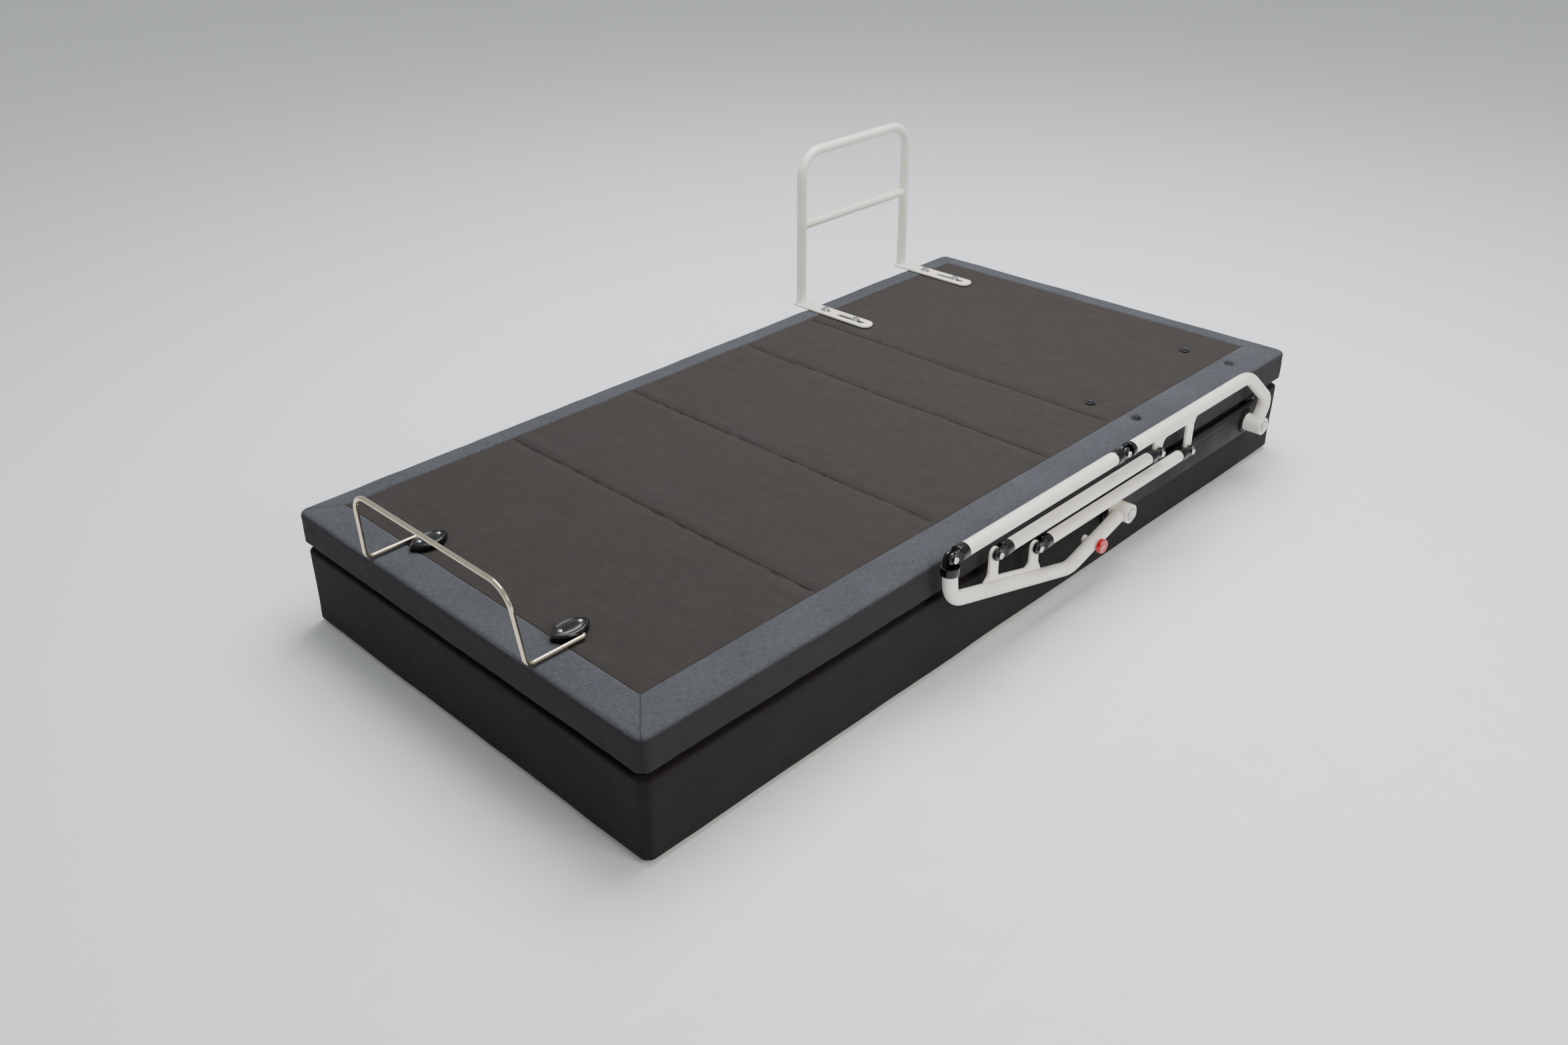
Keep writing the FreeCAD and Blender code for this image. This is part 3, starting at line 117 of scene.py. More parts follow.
def grid_quads(rows, columns, first):
    """Quads of a grid of points numbered row by row from first: (r, c), (r+1, c), (r+1, c+1), (r, c+1)."""
    numbers = first + np.arange(rows * columns).reshape(rows, columns)
    corners = (numbers[:-1, :-1], numbers[1:, :-1], numbers[1:, 1:], numbers[:-1, 1:])
    return np.stack(corners, -1).reshape(-1, 4)


def sharp_box(x, y, depth, low, high, sides):
    """Grids on a sharp-edged box: its top is (x, y, high), its rim the outer flap of the top, and each side
    runs down by depth from an edge. Gives points, flat cloth coordinates, and quads that face outwards."""
    points, cloth, quads = [], [], []
    x0, x1, y0, y1 = low[0], high[0], low[1], high[1]
    for side in sides:
        if side in ("top", "rim"):
            u, v = np.meshgrid(x, y, indexing="ij")
            place, flat = (u, v, np.full_like(u, high[2])), (u, v)
        elif side in ("near", "far"):
            edge = y0 if side == "near" else y1
            d, u = np.meshgrid(depth, x, indexing="ij")
            place, flat = (u, np.full_like(u, edge), high[2] - d), (u, edge + np.sign(edge) * d)
        else:
            edge = x0 if side == "foot" else x1
            d, v = np.meshgrid(depth, y, indexing="ij")
            place, flat = (np.full_like(v, edge), v, high[2] - d), (edge + np.sign(edge) * d, v)
        place, flat = np.stack(place, -1), np.stack(flat, -1)
        if side in ("far", "foot"):
            place, flat = place.transpose(1, 0, 2), flat.transpose(1, 0, 2)
        first = sum(len(p) for p in points)
        made = grid_quads(place.shape[0], place.shape[1], first)
        if side == "rim":
            middle = place.reshape(-1, 3)[made - first].mean(1)
            inside = np.minimum(middle[:, :2] - [x0, y0], [x1, y1] - middle[:, :2]).min(1)
            made = made[inside < flap_width]
        quads.append(made)
        points.append(place.reshape(-1, 3))
        cloth.append(flat.reshape(-1, 2))
    return np.concatenate(points), np.concatenate(cloth), np.concatenate(quads)


def rounded(p, half, low, high, plan, edge, lip):
    """Rounds a sharp box about the z axis. Round its upright corners a square shell of radius m becomes a
    circle of radius m, and round its top and bottom edges the same is done in the plane across the edge."""
    beyond = np.maximum(np.abs(p[:, :2]) - (np.array(half) - plan), 0)
    shell = beyond.max(1)
    inward = plan - shell
    z = p[:, 2].copy()
    for radius, face, toward in ((edge, high, 1.0), (lip, low, -1.0)):
        a = np.maximum(radius - inward, 0)
        b = np.maximum(radius - toward * (face - z), 0)
        k = np.maximum(a, b) / np.maximum(np.hypot(a, b), 1e-12)
        touched = (a > 0) & (b > 0)
        inward = np.where(touched, radius - a * k, inward)
        z = np.where(touched, face - toward * (radius - b * k), z)
    reach = np.where(shell > 0, (plan - inward) / np.maximum(np.hypot(*beyond.T), 1e-12), 0)
    core = np.sign(p[:, :2]) * np.minimum(np.abs(p[:, :2]), np.array(half) - plan)
    return np.column_stack([core + np.sign(p[:, :2]) * beyond * reach[:, None], z])


def weld(points, quads):
    """Merges points at the same place and drops unused ones: new points, quads, and where each came from."""
    used, place = np.unique(quads, return_inverse=True)
    keys = np.round(points[used] * 1e6).astype(np.int64)
    unique, first, number = np.unique(keys, axis=0, return_index=True, return_inverse=True)
    return points[used[first]], number.reshape(-1)[place.reshape(quads.shape)], used[first]


def point_normals(points, quads):
    """Unit normal of each point: the sum of the crossed diagonals of the quads round it."""
    a, b, c, d = (points[quads[:, i]] for i in range(4))
    crossed = np.cross(c - a, d - b)
    total = np.zeros_like(points)
    for i in range(4):
        np.add.at(total, quads[:, i], crossed)
    return total / np.maximum(np.linalg.norm(total, axis=1, keepdims=True), 1e-12)


def closing_quads(quads, count):
    """Quads that join each open edge of the outer skin to the same edge of an inner skin count further on."""
    start = quads.ravel()
    end = np.roll(quads, -1, axis=1).ravel()
    open_edge = ~np.isin(start * count + end, end * count + start)
    a, b = start[open_edge], end[open_edge]
    return np.column_stack([b, a, a + count, b + count])


def swell(u, v, wavelength, seed):
    """Gentle waves about 1 high: the mean of twelve plane waves, of random heading, length and phase."""
    pick = np.random.default_rng(seed)
    heading = pick.uniform(0, 2 * np.pi, 12)
    length = wavelength * pick.uniform(0.6, 1.7, 12)
    phase = pick.uniform(0, 2 * np.pi, 12)
    along = u[:, None] * np.cos(heading) + v[:, None] * np.sin(heading)
    return np.sin(2 * np.pi * along / length + phase).sum(1) / math.sqrt(12)


def bump(distance, width):
    """Bell curve: exp(-(distance / width)^2)."""
    return np.exp(-(distance / width) ** 2)


def box_distance(u, v, low, high):
    """Signed distance to a rectangle: positive outside, negative inside."""
    middle, half = (np.array(low) + high) / 2, (np.array(high) - low) / 2
    du, dv = np.abs(u - middle[0]) - half[0], np.abs(v - middle[1]) - half[1]
    outside = np.hypot(np.maximum(du, 0), np.maximum(dv, 0))
    return outside + np.minimum(np.maximum(du, dv), 0)


def settled_panel(step):
    """The panel's cloth as a cloth simulation settles it: a flat sheet a little too large, held at its seam,
    at the folds and under the screws, clips and plates, and pushed up by the foam for twenty frames. Gives
    the lines of its grid and its heights: a fifth of a millimetre or so of pucker on a pillow under 1 mm."""
    x = np.arange(panel_min[0], panel_max[0] + step, step)
    y = np.arange(panel_min[1], panel_max[1] + step, step)
    u, v = np.meshgrid(x, y, indexing="ij")
    quads = grid_quads(*u.shape, 0)
    mesh = bpy.data.meshes.new("settling")
    mesh.from_pydata(np.stack([u, v, np.zeros_like(u)], -1).reshape(-1, 3), [], quads.tolist())
    sheet = placed("settling", mesh)
    held = np.abs(u[None] - np.array(folds)[:, None, None]).min(0) < step / 2
    for spots, reach in ((screw_spots, 0.016), (clip_spots, 0.030)):
        for cx, cy in spots:
            held |= np.hypot(u - cx, v - cy) < reach
    for cx, cy in plate_spots:
        held |= (np.abs(u - cx) < plate_half_wide + 0.002) & (v > plate_tip)
    held[[0, -1]] = True
    held[:, [0, -1]] = True
    sheet.vertex_groups.new(name="held").add(np.flatnonzero(held).tolist(), 1.0, "REPLACE")
    cloth = sheet.modifiers.new("cloth", "CLOTH")
    cloth.settings.quality = 5
    cloth.settings.mass = 0.3
    cloth.settings.tension_stiffness = 15
    cloth.settings.compression_stiffness = 15
    cloth.settings.shear_stiffness = 5
    cloth.settings.bending_stiffness = 0.1
    cloth.settings.shrink_min = -0.0008
    cloth.settings.use_pressure = True
    cloth.settings.uniform_pressure_force = 0.3
    cloth.settings.effector_weights.gravity = 0
    cloth.settings.vertex_group_mass = "held"
    cloth.point_cache.frame_end = 20
    for moment in range(1, 21):
        bpy.context.scene.frame_set(moment)
    settled = sheet.evaluated_get(bpy.context.evaluated_depsgraph_get()).data
    place = np.empty(3 * len(settled.vertices), np.float32)
    settled.vertices.foreach_get("co", place)
    bpy.context.scene.frame_set(1)
    bpy.data.objects.remove(sheet)
    height = place.reshape(*u.shape, 3)[:, :, 2].astype(float)
    pillow = height.copy()
    for _ in range(12):
        pillow[1:-1, 1:-1] = (pillow[:-2, 1:-1] + pillow[2:, 1:-1] + pillow[1:-1, :-2] + pillow[1:-1, 2:]) / 4
    pucker = np.clip(0.40 * (height - pillow), -0.0006, 0.0006)
    return x, y, pucker + 0.0009 * np.tanh(height / 0.006)


panel_grid = settled_panel(0.014)


def panel_height(x, y):
    """Height of the settled panel between its grid lines, bilinear."""
    lines_x, lines_y, height = panel_grid
    i = np.clip((x - lines_x[0]) / (lines_x[1] - lines_x[0]), 0, len(lines_x) - 1.001)
    j = np.clip((y - lines_y[0]) / (lines_y[1] - lines_y[0]), 0, len(lines_y) - 1.001)
    a, b = i.astype(int), j.astype(int)
    s, t = i - a, j - b
    near = height[a, b] * (1 - t) + height[a, b + 1] * t
    return near * (1 - s) + (height[a + 1, b] * (1 - t) + height[a + 1, b + 1] * t) * s


def deck_relief(sharp):
    """Height of the cloth off its smooth shape: the settled panel and its seam, creases at the folds, dents
    under screws, clips and plates, corner seams, and slow waves."""
    x, y, down = sharp[:, 0], sharp[:, 1], deck_max[2] - sharp[:, 2]
    top = down < 1e-6
    to_panel = box_distance(x, y, panel_min, panel_max)
    inside = np.clip(-to_panel / 0.012, 0, 1)
    height = np.where(top, 0.0004 * swell(x, y, 0.22, 3) + 0.00022 * swell(x, y, 0.07, 4), 0)
    height -= np.where(top, 0.0007 * np.clip(0.5 - to_panel / 0.004, 0, 1), 0)
    height += np.where(top & (to_panel < 0), panel_height(x, y), 0)
    height -= np.where(top, 0.0013 * bump(to_panel, 0.0016), 0)
    height += np.where(top, 0.0005 * bump(to_panel - 0.010, 0.008), 0)
    for number, fold in enumerate(folds):
        drift = 0.0012 * swell(y, y * 0, 0.35, 20 + number)
        away = x - fold - drift
        pull = 1 + 0.35 * swell(y, y * 0, 0.030, 30 + number)
        crease = 0.0024 * bump(away, 0.0028) * pull + 0.0013 * bump(away, 0.013)
        roll = 0.0008 * bump(away - 0.017, 0.010) + 0.0004 * bump(away + 0.019, 0.010)
        height -= np.where(top, inside * (crease - roll), 0)
    for number, (cx, cy) in enumerate(screw_spots + clip_spots):
        away = np.hypot(x - cx, y - cy)
        turn = np.arctan2(y - cy, x - cx)
        flat, wide, deep = (0.013, 0.012, 0.0024) if number < len(screw_spots) else (0.026, 0.016, 0.0010)
        folds_out = 0.0007 * np.cos(5 * turn + number) * bump(away - flat - 1.1 * wide, wide)
        ring = 0.0008 * bump(away - flat - 0.9 * wide, 0.5 * wide)
        height -= np.where(top, deep * bump(np.maximum(away - flat, 0), wide) - folds_out - ring, 0)
    for cx, cy in plate_spots:
        start, end = (cx - plate_half_wide, cy - 0.120), (cx + plate_half_wide, cy + 0.100)
        away = np.maximum(box_distance(x, y, start, end), 0)
        height -= np.where(top, 0.0009 * bump(away, 0.010), 0)
    slow = 0.00045 * swell(x + y, down * 3, 0.16, 7) + 0.00025 * swell(x - y, down * 2, 0.05, 8)
    height += np.where(top, 0, slow * np.clip(down / 0.012, 0, 1))
    corner = np.hypot(np.abs(x) - deck_max[0], np.abs(y) - deck_max[1])
    height -= np.where(top, 0, 0.0012 * bump(corner, 0.0017) * np.clip(down / 0.010, 0, 1))
    return height


def mitre_distance(cloth):
    """Signed distance, in the quarter of the deck a point is in, to the line from that quarter's outer
    corner to the panel's corner."""
    sign = np.where(cloth < 0, -1, 1)
    outer = np.where(sign < 0, deck_min[:2], deck_max[:2])
    inner = np.where(sign < 0, panel_min, panel_max)
    line = (inner - outer) / np.linalg.norm(inner - outer, axis=1, keepdims=True)
    away = cloth - outer
    return line[:, 0] * away[:, 1] - line[:, 1] * away[:, 0]


def cloth_object(name, points, quads, loops, upward, materials, of_material):
    """Mesh object with a cloth UV map in metres, an upward attribute that the woven finish paints light and shade
    by, sharp edges above 40 degrees.
    """
    mesh = bpy.data.meshes.new(name)
    mesh.from_pydata(points, [], quads.tolist())
    mesh.uv_layers.new(name="cloth").data.foreach_set("uv", loops.astype(np.float32).ravel())
    mesh.attributes.new("upward", "FLOAT", "POINT").data.foreach_set("value", upward.astype(np.float32))
    for finish in materials:
        mesh.materials.append(finish)
    mesh.polygons.foreach_set("material_index", of_material.astype(np.int32))
    mesh.polygons.foreach_set("use_smooth", np.ones(len(quads), bool))
    mesh.set_sharp_from_angle(angle=math.radians(40))
    return placed(name, mesh)


def wrapped_cloth(name, x, y, depth, low, high, sides, rounding, thick, relief, materials, panel):
    """Closed padded skin: a rounded box raised by its relief outside, and the same box moved inwards by
    thick = (sideways, downwards) inside; each outer face takes the panel's finish inside the panel.
    Rounding is what rounded() takes after the points, and relief gives the height at each sharp point."""
    sharp, cloth, quads = sharp_box(x, y, depth, low, high, sides)
    old_quads = quads
    sharp, quads, first = weld(sharp, quads)
    smooth = rounded(sharp, *rounding)
    normal = point_normals(smooth, quads)
    count = len(smooth)
    outer = smooth + normal * relief(sharp)[:, None]
    # How far each point faces up: it sets how thick the top is, and the woven finish paints the lit top lighter
    # and the shaded sides darker by it.
    upward = np.maximum(normal[:, 2], 0)
    inner = smooth - normal * [thick[0], thick[0], 0] - np.outer(upward, [0, 0, thick[1]])
    closing = closing_quads(quads, count)
    all_quads = np.concatenate([quads, quads[:, ::-1] + count, closing])
    flat = cloth[first]
    loops = np.concatenate([cloth[old_quads].reshape(-1, 2), cloth[old_quads][:, ::-1].reshape(-1, 2),
                            flat[closing % count].reshape(-1, 2)])
    middle = cloth[old_quads].mean(1)
    in_panel = box_distance(middle[:, 0], middle[:, 1], panel_min, panel_max) < 0
    index = np.concatenate([in_panel & panel, np.zeros(len(quads) + len(closing), bool)])
    skin = np.concatenate([outer, inner])
    made = cloth_object(name, skin, all_quads, loops, np.tile(upward, 2), materials, index)
    corner = np.hypot(np.abs(sharp[:, 0]) - high[0], np.abs(sharp[:, 1]) - high[1])
    mitre = np.tile(np.where(sharp[:, 2] > high[2] - 1e-6, mitre_distance(flat), corner), 2)
    made.data.attributes.new("mitre", "FLOAT", "POINT").data.foreach_set("value", mitre.astype(np.float32))
    return made


def paint(text):
    """Linear colour of a screen colour written as six hex digits."""
    part = np.array([int(text[i:i + 2], 16) / 255 for i in (0, 2, 4)])
    return (*np.where(part <= 0.04045, part / 12.92, ((part + 0.055) / 1.055) ** 2.4), 1)


def wire(tree, kind, inputs=None, **settings):
    """New node; each input is a constant, or an output that is linked to it."""
    made = tree.nodes.new("ShaderNode" + kind)
    for key, value in settings.items():
        setattr(made, key, value)
    for key, value in (inputs or {}).items():
        if isinstance(value, bpy.types.NodeSocket):
            tree.links.new(value, made.inputs[key])
        else:
            made.inputs[key].default_value = value
    return made


def new_finish(name, **constants):
    """Material with a principled shader whose constant sockets are set; gives it, its tree and its shader."""
    made = bpy.data.materials.new(name)
    made.use_nodes = True
    shader = made.node_tree.nodes["Principled BSDF"]
    for key, value in constants.items():
        shader.inputs[key.replace("_", " ").title().replace("Ior", "IOR")].default_value = value
    return made, made.node_tree, shader


def sum_of(tree, *terms):
    """Output that adds terms, each an output or a number."""
    total = terms[0]
    for term in terms[1:]:
        total = wire(tree, "Math", {0: total, 1: term}, operation="ADD").outputs[0]
    return total


def times(tree, a, b):
    """Output of a times b."""
    return wire(tree, "Math", {0: a, 1: b}, operation="MULTIPLY").outputs[0]


def colour_mix(tree, share, a, b):
    """Colour from a to b by share."""
    made = wire(tree, "Mix", data_type="RGBA")
    for key, value in (("Factor", share), ("A", a), ("B", b)):
        socket = [s for s in made.inputs if s.name == key and s.enabled][0]
        if isinstance(value, bpy.types.NodeSocket):
            tree.links.new(value, socket)
        else:
            socket.default_value = value
    return [s for s in made.outputs if s.enabled][0]


def noise(tree, place, scale, detail, roughness=0.5):
    """Cloudy noise between 0 and 1."""
    levels = {"Vector": place, "Scale": scale, "Detail": detail, "Roughness": roughness}
    return wire(tree, "TexNoise", levels).outputs[0]


def streaks(tree, place, scales, detail=2.0):
    """Noise between 0 and 1 stretched to flecks by its scales in the three directions."""
    scaled = wire(tree, "Mapping", {"Vector": place, "Scale": scales}).outputs[0]
    return noise(tree, scaled, 1.0, detail)


def remapped(tree, value, low, high, first=0.0, last=1.0, kind="LINEAR"):
    """Output that goes from first to last as the value goes from low to high, and keeps to that range."""
    levels = {0: value, 1: low, 2: high, 3: first, 4: last}
    return wire(tree, "MapRange", levels, interpolation_type=kind).outputs[0]


def lift_surface(tree, shader, height, strength, distance):
    """Tilts the shader's normal as a surface raised by height * distance would be."""
    lifted = wire(tree, "Bump", {"Strength": strength, "Distance": distance, "Height": height})
    tree.links.new(lifted.outputs[0], shader.inputs["Normal"])


def thread_height(tree, value, pitch):
    """Round threads side by side: |sin(pi * value / pitch)|."""
    angle = times(tree, value, math.pi / pitch)
    wave = wire(tree, "Math", {0: angle}, operation="SINE").outputs[0]
    return wire(tree, "Math", {0: wave}, operation="ABSOLUTE").outputs[0]


def woven_finish(name, lit_top_dark, lit_top_light, shaded_side_dark, shaded_side_light, pitch):
    """Plain melange weave: a checker picks which of two crossing threads is on top; each thread has its own
    flecks. The colours are painted light and shade on one cloth: a lighter lit pair on the top goes to a
    darker shaded pair on the sides as the cloth turns away from upwards."""
    made, tree, shader = new_finish(name, roughness=0.92, sheen_weight=0.12, sheen_roughness=0.45,
                                    specular_ior_level=0.25)
    shader.inputs["Sheen Tint"].default_value = paint("c4c8ce")
    coordinates = wire(tree, "UVMap", uv_map="cloth").outputs[0]
    part = wire(tree, "SeparateXYZ", {0: coordinates})
    over = wire(tree, "TexChecker", {"Vector": coordinates, "Scale": 1 / pitch}).outputs["Fac"]
    warp = thread_height(tree, part.outputs[0], pitch)
    weft = thread_height(tree, part.outputs[1], pitch)
    height = wire(tree, "Mix", {0: over, 2: warp, 3: weft}).outputs[0]
    flecks = wire(tree, "Mix", {0: over, 2: streaks(tree, coordinates, (620, 70, 1)),
                                3: streaks(tree, coordinates, (70, 620, 1))}).outputs[0]
    cloud = noise(tree, coordinates, 9.0, 3.0)
    tone = sum_of(tree, times(tree, flecks, 1.5), times(tree, height, 0.35), times(tree, cloud, 0.35), -0.62)
    tone = wire(tree, "Clamp", {0: tone}).outputs[0]
    # Painted light and shade: the more the cloth faces up, the more it takes the lighter lit top colours instead
    # of the darker shaded side colours.
    up = wire(tree, "Attribute", attribute_name="upward").outputs["Fac"]
    up = remapped(tree, up, 0.15, 0.85, kind="SMOOTHSTEP")
    lit_top_colour = colour_mix(tree, tone, paint(lit_top_dark), paint(lit_top_light))
    shaded_side_colour = colour_mix(tree, tone, paint(shaded_side_dark), paint(shaded_side_light))
    shade = colour_mix(tree, up, shaded_side_colour, lit_top_colour)
    # Painted shade: along the mitre seams the colour is darkened towards 1d1d20 as the shade in the seam's groove;
    # the same mask also sinks the seam in the bump.
    mitre = wire(tree, "Attribute", attribute_name="mitre").outputs["Fac"]
    away = wire(tree, "Math", {0: mitre}, operation="ABSOLUTE").outputs[0]
    seam = remapped(tree, away, 0.0004, 0.0020, 1.0, 0.0, kind="SMOOTHSTEP")
    shade = colour_mix(tree, times(tree, seam, 0.55), shade, paint("1d1d20"))
    tree.links.new(shade, shader.inputs["Base Color"])
    relief = sum_of(tree, times(tree, height, 0.35), times(tree, flecks, 0.35), times(tree, seam, -1.6))
    lift_surface(tree, shader, relief, 0.8, 0.0007)
    return made


def grip_finish(name, dark, light, warm, cool, pitch):
    """Ribbed grip cloth: ribs across the bed, cut into small studs, |sin| * (0.55 + 0.45 |sin|), with fine
    fibres, a little lint, and soft warm and cool clouds of tone."""
    made, tree, shader = new_finish(name, roughness=0.88, sheen_weight=0.09, sheen_roughness=0.5,
                                    specular_ior_level=0.3)
    shader.inputs["Sheen Tint"].default_value = paint("bcb4ae")
    coordinates = wire(tree, "UVMap", uv_map="cloth").outputs[0]
    part = wire(tree, "SeparateXYZ", {0: coordinates})
    cut = sum_of(tree, times(tree, thread_height(tree, part.outputs[1], pitch), 0.45), 0.55)
    stud = times(tree, thread_height(tree, part.outputs[0], pitch), cut)
    fibre = streaks(tree, coordinates, (420, 420, 1), 3.0)
    cloud = noise(tree, coordinates, 5.0, 4.0, 0.6)
    dust = noise(tree, coordinates, 38.0, 4.0)
    bands = streaks(tree, coordinates, (60, 9, 1))
    tone = sum_of(tree, times(tree, stud, 0.85), times(tree, fibre, 0.70), times(tree, dust, 0.35),
                  times(tree, bands, 0.30), -0.77)
    tone = wire(tree, "Clamp", {0: tone}).outputs[0]
    base = colour_mix(tree, tone, paint(dark), paint(light))
    share = remapped(tree, cloud, 0.42, 0.60)
    tint = colour_mix(tree, share, paint(warm), paint(cool))
    mixed = colour_mix(tree, 0.25, base, tint)
    spots = wire(tree, "TexVoronoi", {"Vector": coordinates, "Scale": 75.0}).outputs["Distance"]
    lint = remapped(tree, spots, 0.03, 0.07, 0.5, 0.0)
    mixed = colour_mix(tree, times(tree, lint, dust), mixed, paint("a9a29a"))
    tree.links.new(mixed, shader.inputs["Base Color"])
    relief = sum_of(tree, stud, times(tree, fibre, 0.5))
    lift_surface(tree, shader, relief, 0.7, 0.0008)
    return made


# The border's lighter top colours are painted light from above, and its darker side colours painted shade, on one
# and the same cloth.
border_cloth = woven_finish("border_cloth", "1c1e22", "56585d", "161314", "302a2b", 0.0020)
panel_cloth = grip_finish("panel_cloth", "131110", "413a37", "2f2723", "292a28", 0.0036)

edge_steps = np.array([0, 1.2, 2.6, 4.2, 6, 8, 10, 13, 16.5, 20]) / 1000
seam_steps = np.array([0, 0.8, 1.7, 2.8, 4.2, 6.5]) / 1000
fold_steps = np.array([0, 1.2, 2.4, 3.8, 5.5, 8, 11.5, 16, 22]) / 1000
deck_depths = np.array([0, 1.2, 2.6, 4.2, 6, 8, 10, 15, 22, 30, 38, 46, 54, 60, 62.5, 64, 65.2, 66]) / 1000
deck_y = np.unique(np.concatenate([
    spaced(-0.48, 0.48, 0.008, (panel_min[1], panel_max[1]), seam_steps),
    deck_min[1] + edge_steps, deck_max[1] - edge_steps]).round(5))
deck_rounding = (deck_max[:2], deck_min[2], deck_max[2], 0.020, 0.010, 0.0025)
side_thick, top_thick = 0.0036, 0.0105


def deck_piece(name, start, end, sides, fold, covers):
    """One length of the upholstery from x = start to x = end, with its grid lines packed close about a fold; it
    hides the covers it stands for.
    """
    lines = [spaced(start, end, 0.008, (fold,), fold_steps)]
    for seam in (panel_min[0], panel_max[0]):
        if start < seam < end:
            lines[0] = lines[0][np.abs(lines[0] - seam) > 0.009]
            lines.append(seam + np.concatenate([-seam_steps, seam_steps]))
    if "foot" in sides:
        lines[0] = lines[0][lines[0] > start + 0.022]
        lines.append(start + edge_steps)
    if "head" in sides:
        lines[0] = lines[0][lines[0] < end - 0.022]
        lines.append(end - edge_steps)
    x = np.unique(np.concatenate(lines).round(5))
    made = wrapped_cloth(name, x, deck_y, deck_depths, deck_min, deck_max, sides, deck_rounding,
                         (side_thick, top_thick), deck_relief, (border_cloth, panel_cloth), True)
    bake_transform(made)
    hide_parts(*covers)


thigh_split, seat_split, lumbar_split = -0.360, -0.0125, 0.2815
deck_piece("upholstery_foot", deck_min[0], thigh_split, ("top", "near", "far", "foot"), folds[0],
           ("calf_cover",))
deck_piece("upholstery_thigh", thigh_split, seat_split, ("top", "near", "far"), folds[1],
           ("thigh_cover",))
deck_piece("upholstery_seat", seat_split, lumbar_split, ("top", "near", "far"), folds[2],
           ("seat_cover", "lumbar_cover"))
deck_piece("upholstery_head", lumbar_split, deck_max[0], ("top", "near", "far", "head"), folds[3],
           ("back_cover",))


# ---------------------------------------------------------------- base box cover
# The same cloth stretched over the four boards of the base box, with an
# upright seam at each corner, folded over the boards' tops and stapled there.

plinth_min = np.array(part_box("plinth_cover")[0])
plinth_max = np.array(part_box("plinth_cover")[1])
plinth_top = plinth_max + [0, 0, 0.0015]


def plinth_relief(sharp):
    """Height of the base box's cloth off its smooth shape: corner seams and slow waves."""
    x, y, down = sharp[:, 0], sharp[:, 1], plinth_max[2] - sharp[:, 2]
    slow = 0.0005 * swell(x + y, down * 2, 0.30, 11) + 0.0002 * swell(x - y, down * 2, 0.08, 12)
    corner = np.hypot(np.abs(x) - plinth_max[0], np.abs(y) - plinth_max[1])
    return slow * np.clip(down / 0.02, 0, 1) - 0.0013 * bump(corner, 0.0018)


plinth_depths = np.concatenate([[0, 0.001, 0.002, 0.003, 0.0045, 0.006], np.linspace(0.014, 0.150, 18),
                                [0.1540, 0.1560, 0.1575]])
plinth_lines = []
for low, high in zip(plinth_min[:2], plinth_max[:2]):
    start, end = low + flap_width, high - flap_width
    even = np.linspace(start, end, round((end - start) / 0.010) + 1)
    plinth_lines.append(np.unique(np.concatenate([even, low + edge_steps, high - edge_steps]).round(5)))
# The base box cloth is painted the same way: a lighter lit top rim over darker shaded sides.
base_cloth = woven_finish("base_cloth", "120e0d", "221b19", "0e0b0a", "201816", 0.0020)
plinth_rounding = (plinth_top[:2], plinth_min[2], plinth_top[2], 0.018, 0.006, 0.0025)
plinth = wrapped_cloth("base_box_cover", *plinth_lines, plinth_depths, plinth_min, plinth_top,
                       ("rim", "near", "far", "foot", "head"), plinth_rounding, (0.0028, 0.0012),
                       plinth_relief, (base_cloth,), False)
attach(plinth, "base")
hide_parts("plinth_cover")


# ---------------------------------------------------------------- carried-over parts
# Frames, boards, tubes, drives and bolts keep their shapes, and get the finish
# that each is made with: powder coat, zinc, plywood, moulded plastic.


def painted_finish(name, light, shade, roughness, peel=1.0, **constants):
    """Powder coat: a flat colour with faint clouds, fine orange peel and slightly uneven gloss."""
    made, tree, shader = new_finish(name, **constants)
    place = wire(tree, "TexCoord").outputs["Object"]
    cloud = noise(tree, place, 14.0, 3.0)
    peeling = noise(tree, place, 900.0, 2.0)
    share = remapped(tree, cloud, 0.35, 0.68)
    tree.links.new(colour_mix(tree, share, paint(light), paint(shade)), shader.inputs["Base Color"])
    gloss = remapped(tree, cloud, 0.3, 0.7, roughness * 0.85, roughness * 1.15)
    tree.links.new(gloss, shader.inputs["Roughness"])
    lift_surface(tree, shader, peeling, 0.25 * peel, 0.0002)
    return made


def metal_finish(name, light, shade, roughness, brushed):
    """Bright metal: two near tones in clouds, and fine drawn lines along x that also vary the gloss."""
    made, tree, shader = new_finish(name, metallic=1.0)
    place = wire(tree, "TexCoord").outputs["Object"]
    cloud = noise(tree, place, 30.0, 4.0)
    drawn = streaks(tree, place, (260, 1500, 1500))
    tree.links.new(colour_mix(tree, cloud, paint(light), paint(shade)), shader.inputs["Base Color"])
    gloss = remapped(tree, drawn, 0.3, 0.7, roughness * 0.7, roughness * 1.3)
    tree.links.new(gloss, shader.inputs["Roughness"])
    lift_surface(tree, shader, drawn, brushed, 0.0002)
    return made


def plywood_finish(name):
    """Birch plywood: rings of a distorted wave along x for the faces, thin layers in z for the edges."""
    made, tree, shader = new_finish(name, roughness=0.6)
    place = wire(tree, "TexCoord").outputs["Object"]
    scaled = wire(tree, "Mapping", {"Vector": place, "Scale": (1.2, 14, 14)}).outputs[0]
    grain = wire(tree, "TexWave", {"Vector": scaled, "Scale": 1.1, "Distortion": 3.5, "Detail": 3.0,
                                   "Detail Scale": 1.3}).outputs["Fac"]
    height = wire(tree, "SeparateXYZ", {0: place}).outputs[2]
    layer = thread_height(tree, height, 0.0030)
    tone = sum_of(tree, times(tree, grain, 0.6), times(tree, layer, 0.4))
    tree.links.new(colour_mix(tree, tone, paint("ad8b62"), paint("c8aa80")), shader.inputs["Base Color"])
    lift_surface(tree, shader, grain, 0.3, 0.0004)
    return made


